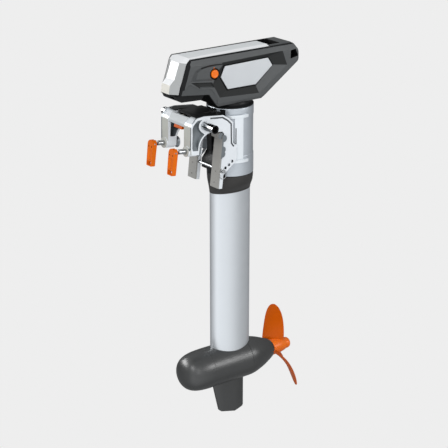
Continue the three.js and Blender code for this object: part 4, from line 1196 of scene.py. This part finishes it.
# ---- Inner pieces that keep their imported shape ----
INNER = {
    "port_tilt_bush": "nylon", "starboard_tilt_bush": "nylon", "upper_steering_bush": "nylon",
    "lower_steering_bush": "nylon", "steering_tube": "anodised", "motor_cable": "black_plastic",
    "stator": "winding", "front_bearing": "steel", "rear_bearing": "steel",
    "front_bearing_plate": "bearing_plate", "rear_bearing_plate": "bearing_plate",
    "shaft_seal": "seat_rubber", "contact_block": "nylon", "drive_shaft": "steel", "rotor": "magnet",
    "drive_pin": "steel", "battery_pack": "black_plastic", "power_board": "board",
}
for node, look in INNER.items():
    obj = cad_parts[node]
    obj.data.materials.clear()
    obj.data.materials.append(LOOK[look])

# ---- Camera, floor and light ----
right = Vector((0.8017, -0.5977, 0.0)).normalized()
ahead = Vector((0.5617, 0.7533, -0.3423)).normalized()
up = right.cross(ahead).normalized()
camera = linked("camera", bpy.data.cameras.new("camera"))
turn = Matrix((right, up, -ahead)).transposed().to_4x4()
camera.matrix_world = Matrix.Translation((-2.2582, -3.1588, 1.1257)) @ turn
camera.data.lens = 116.518
camera.data.sensor_width = 36
camera.data.clip_start = 0.1
camera.data.clip_end = 200
bpy.context.scene.camera = camera

floor_mesh = bpy.data.meshes.new("floor")
floor_mesh.from_pydata([(-150, -150, 0), (150, -150, 0), (150, 150, 0), (-150, 150, 0)], [], [(0, 1, 2, 3)])
floor = linked("floor", floor_mesh)
floor.location.z = cad_box[0][2] - 0.002
floor_look = bpy.data.materials.new("floor")
floor_look.use_nodes = True
floor_nodes = floor_look.node_tree.nodes
floor_nodes.remove(floor_nodes["Principled BSDF"])
glow = add_node(floor_nodes, "ShaderNodeEmission", {"Color": linear(238, 238, 238), "Strength": 1.0})
link(glow, "Emission", floor_nodes["Material Output"], "Surface")
floor_mesh.materials.append(floor_look)
# Only the camera sees the floor
for ray in ("diffuse", "glossy", "shadow", "transmission"):
    setattr(floor, f"visible_{ray}", False)

world = bpy.data.worlds.new("studio")
bpy.context.scene.world = world
world.use_nodes = True
sky_nodes, sky_links = world.node_tree.nodes, world.node_tree.links
sky = sky_nodes["Background"]
where = sky_nodes.new("ShaderNodeTexCoord")


def lobe(direction, low, high, strength):
    """Soft panel of light round one direction."""
    toward = {1: Vector(direction).normalized()}
    dot = add_node(sky_nodes, "ShaderNodeVectorMath", toward, operation="DOT_PRODUCT")
    link(where, "Generated", dot, 0)
    reach = {"From Min": low, "From Max": high, "To Max": strength}
    ramp = add_node(sky_nodes, "ShaderNodeMapRange", reach, interpolation_type="SMOOTHSTEP")
    link(dot, "Value", ramp, "Value")
    return ramp.outputs["Result"]


AMBIENT = 0.14
LOBES = [
    ((0, 0, 1), -0.1, 1.0, 0.62),  # overhead
    ((0, 0, -1), -0.1, 0.6, 0.2),  # bounced up from the studio floor
    ((-0.95, 0.0, 0.0), 0.4, 0.97, 0.42),  # ahead of the motor, to camera left
    ((-0.40, -0.88, -0.25), 0.3, 1.0, 0.98),  # beside the camera
    ((0.75, -0.6, 0.1), 0.5, 1.0, 0.2),  # behind the motor, to camera right
]
total = lobe(*LOBES[0])
for item in LOBES[1:]:
    plus = add_node(sky_nodes, "ShaderNodeMath", {}, operation="ADD")
    sky_links.new(total, plus.inputs[0])
    sky_links.new(lobe(*item), plus.inputs[1])
    total = plus.outputs["Value"]
all_light = add_node(sky_nodes, "ShaderNodeMath", {1: AMBIENT}, operation="ADD")
sky_links.new(total, all_light.inputs[0])
link(all_light, "Value", sky, "Strength")
sky.inputs["Color"].default_value = (0.97, 0.985, 1.0, 1)


def area_light(name, at, target, size, power):
    data = bpy.data.lights.new(name, "AREA")
    data.shape = "RECTANGLE"
    data.size, data.size_y = size
    data.energy = power
    obj = linked(name, data)
    obj.location = at
    obj.rotation_mode = "QUATERNION"
    obj.rotation_quaternion = (Vector(target) - Vector(at)).to_track_quat("-Z", "Y")
    return obj


area_light("key", (-2.6, -1.9, 2.2), (0.1, 0, -0.1), (1.2, 1.2), 42)
area_light("side", (-0.6, -3.4, 0.9), (0.1, 0, -0.3), (1.2, 2.0), 14)
# Soft panels aimed at the pod, which show only as reflections
POD_CENTRE = Vector((0, 0, -0.73))
PANEL_REACH = 3
for name, direction, size, power in (
    ("saddle_panel", (0.56, -0.73, 0.37), (1.2, 0.8), 26),
    ("nose_panel", (-0.52, 0.62, 0.5), (2.2, 1.3), 95),
):
    panel = area_light(name, Vector(direction) * PANEL_REACH + POD_CENTRE, POD_CENTRE, size, power)
    panel.visible_diffuse = False

scene = bpy.context.scene
scene.view_settings.view_transform = "Standard"
scene.view_settings.look = "None"
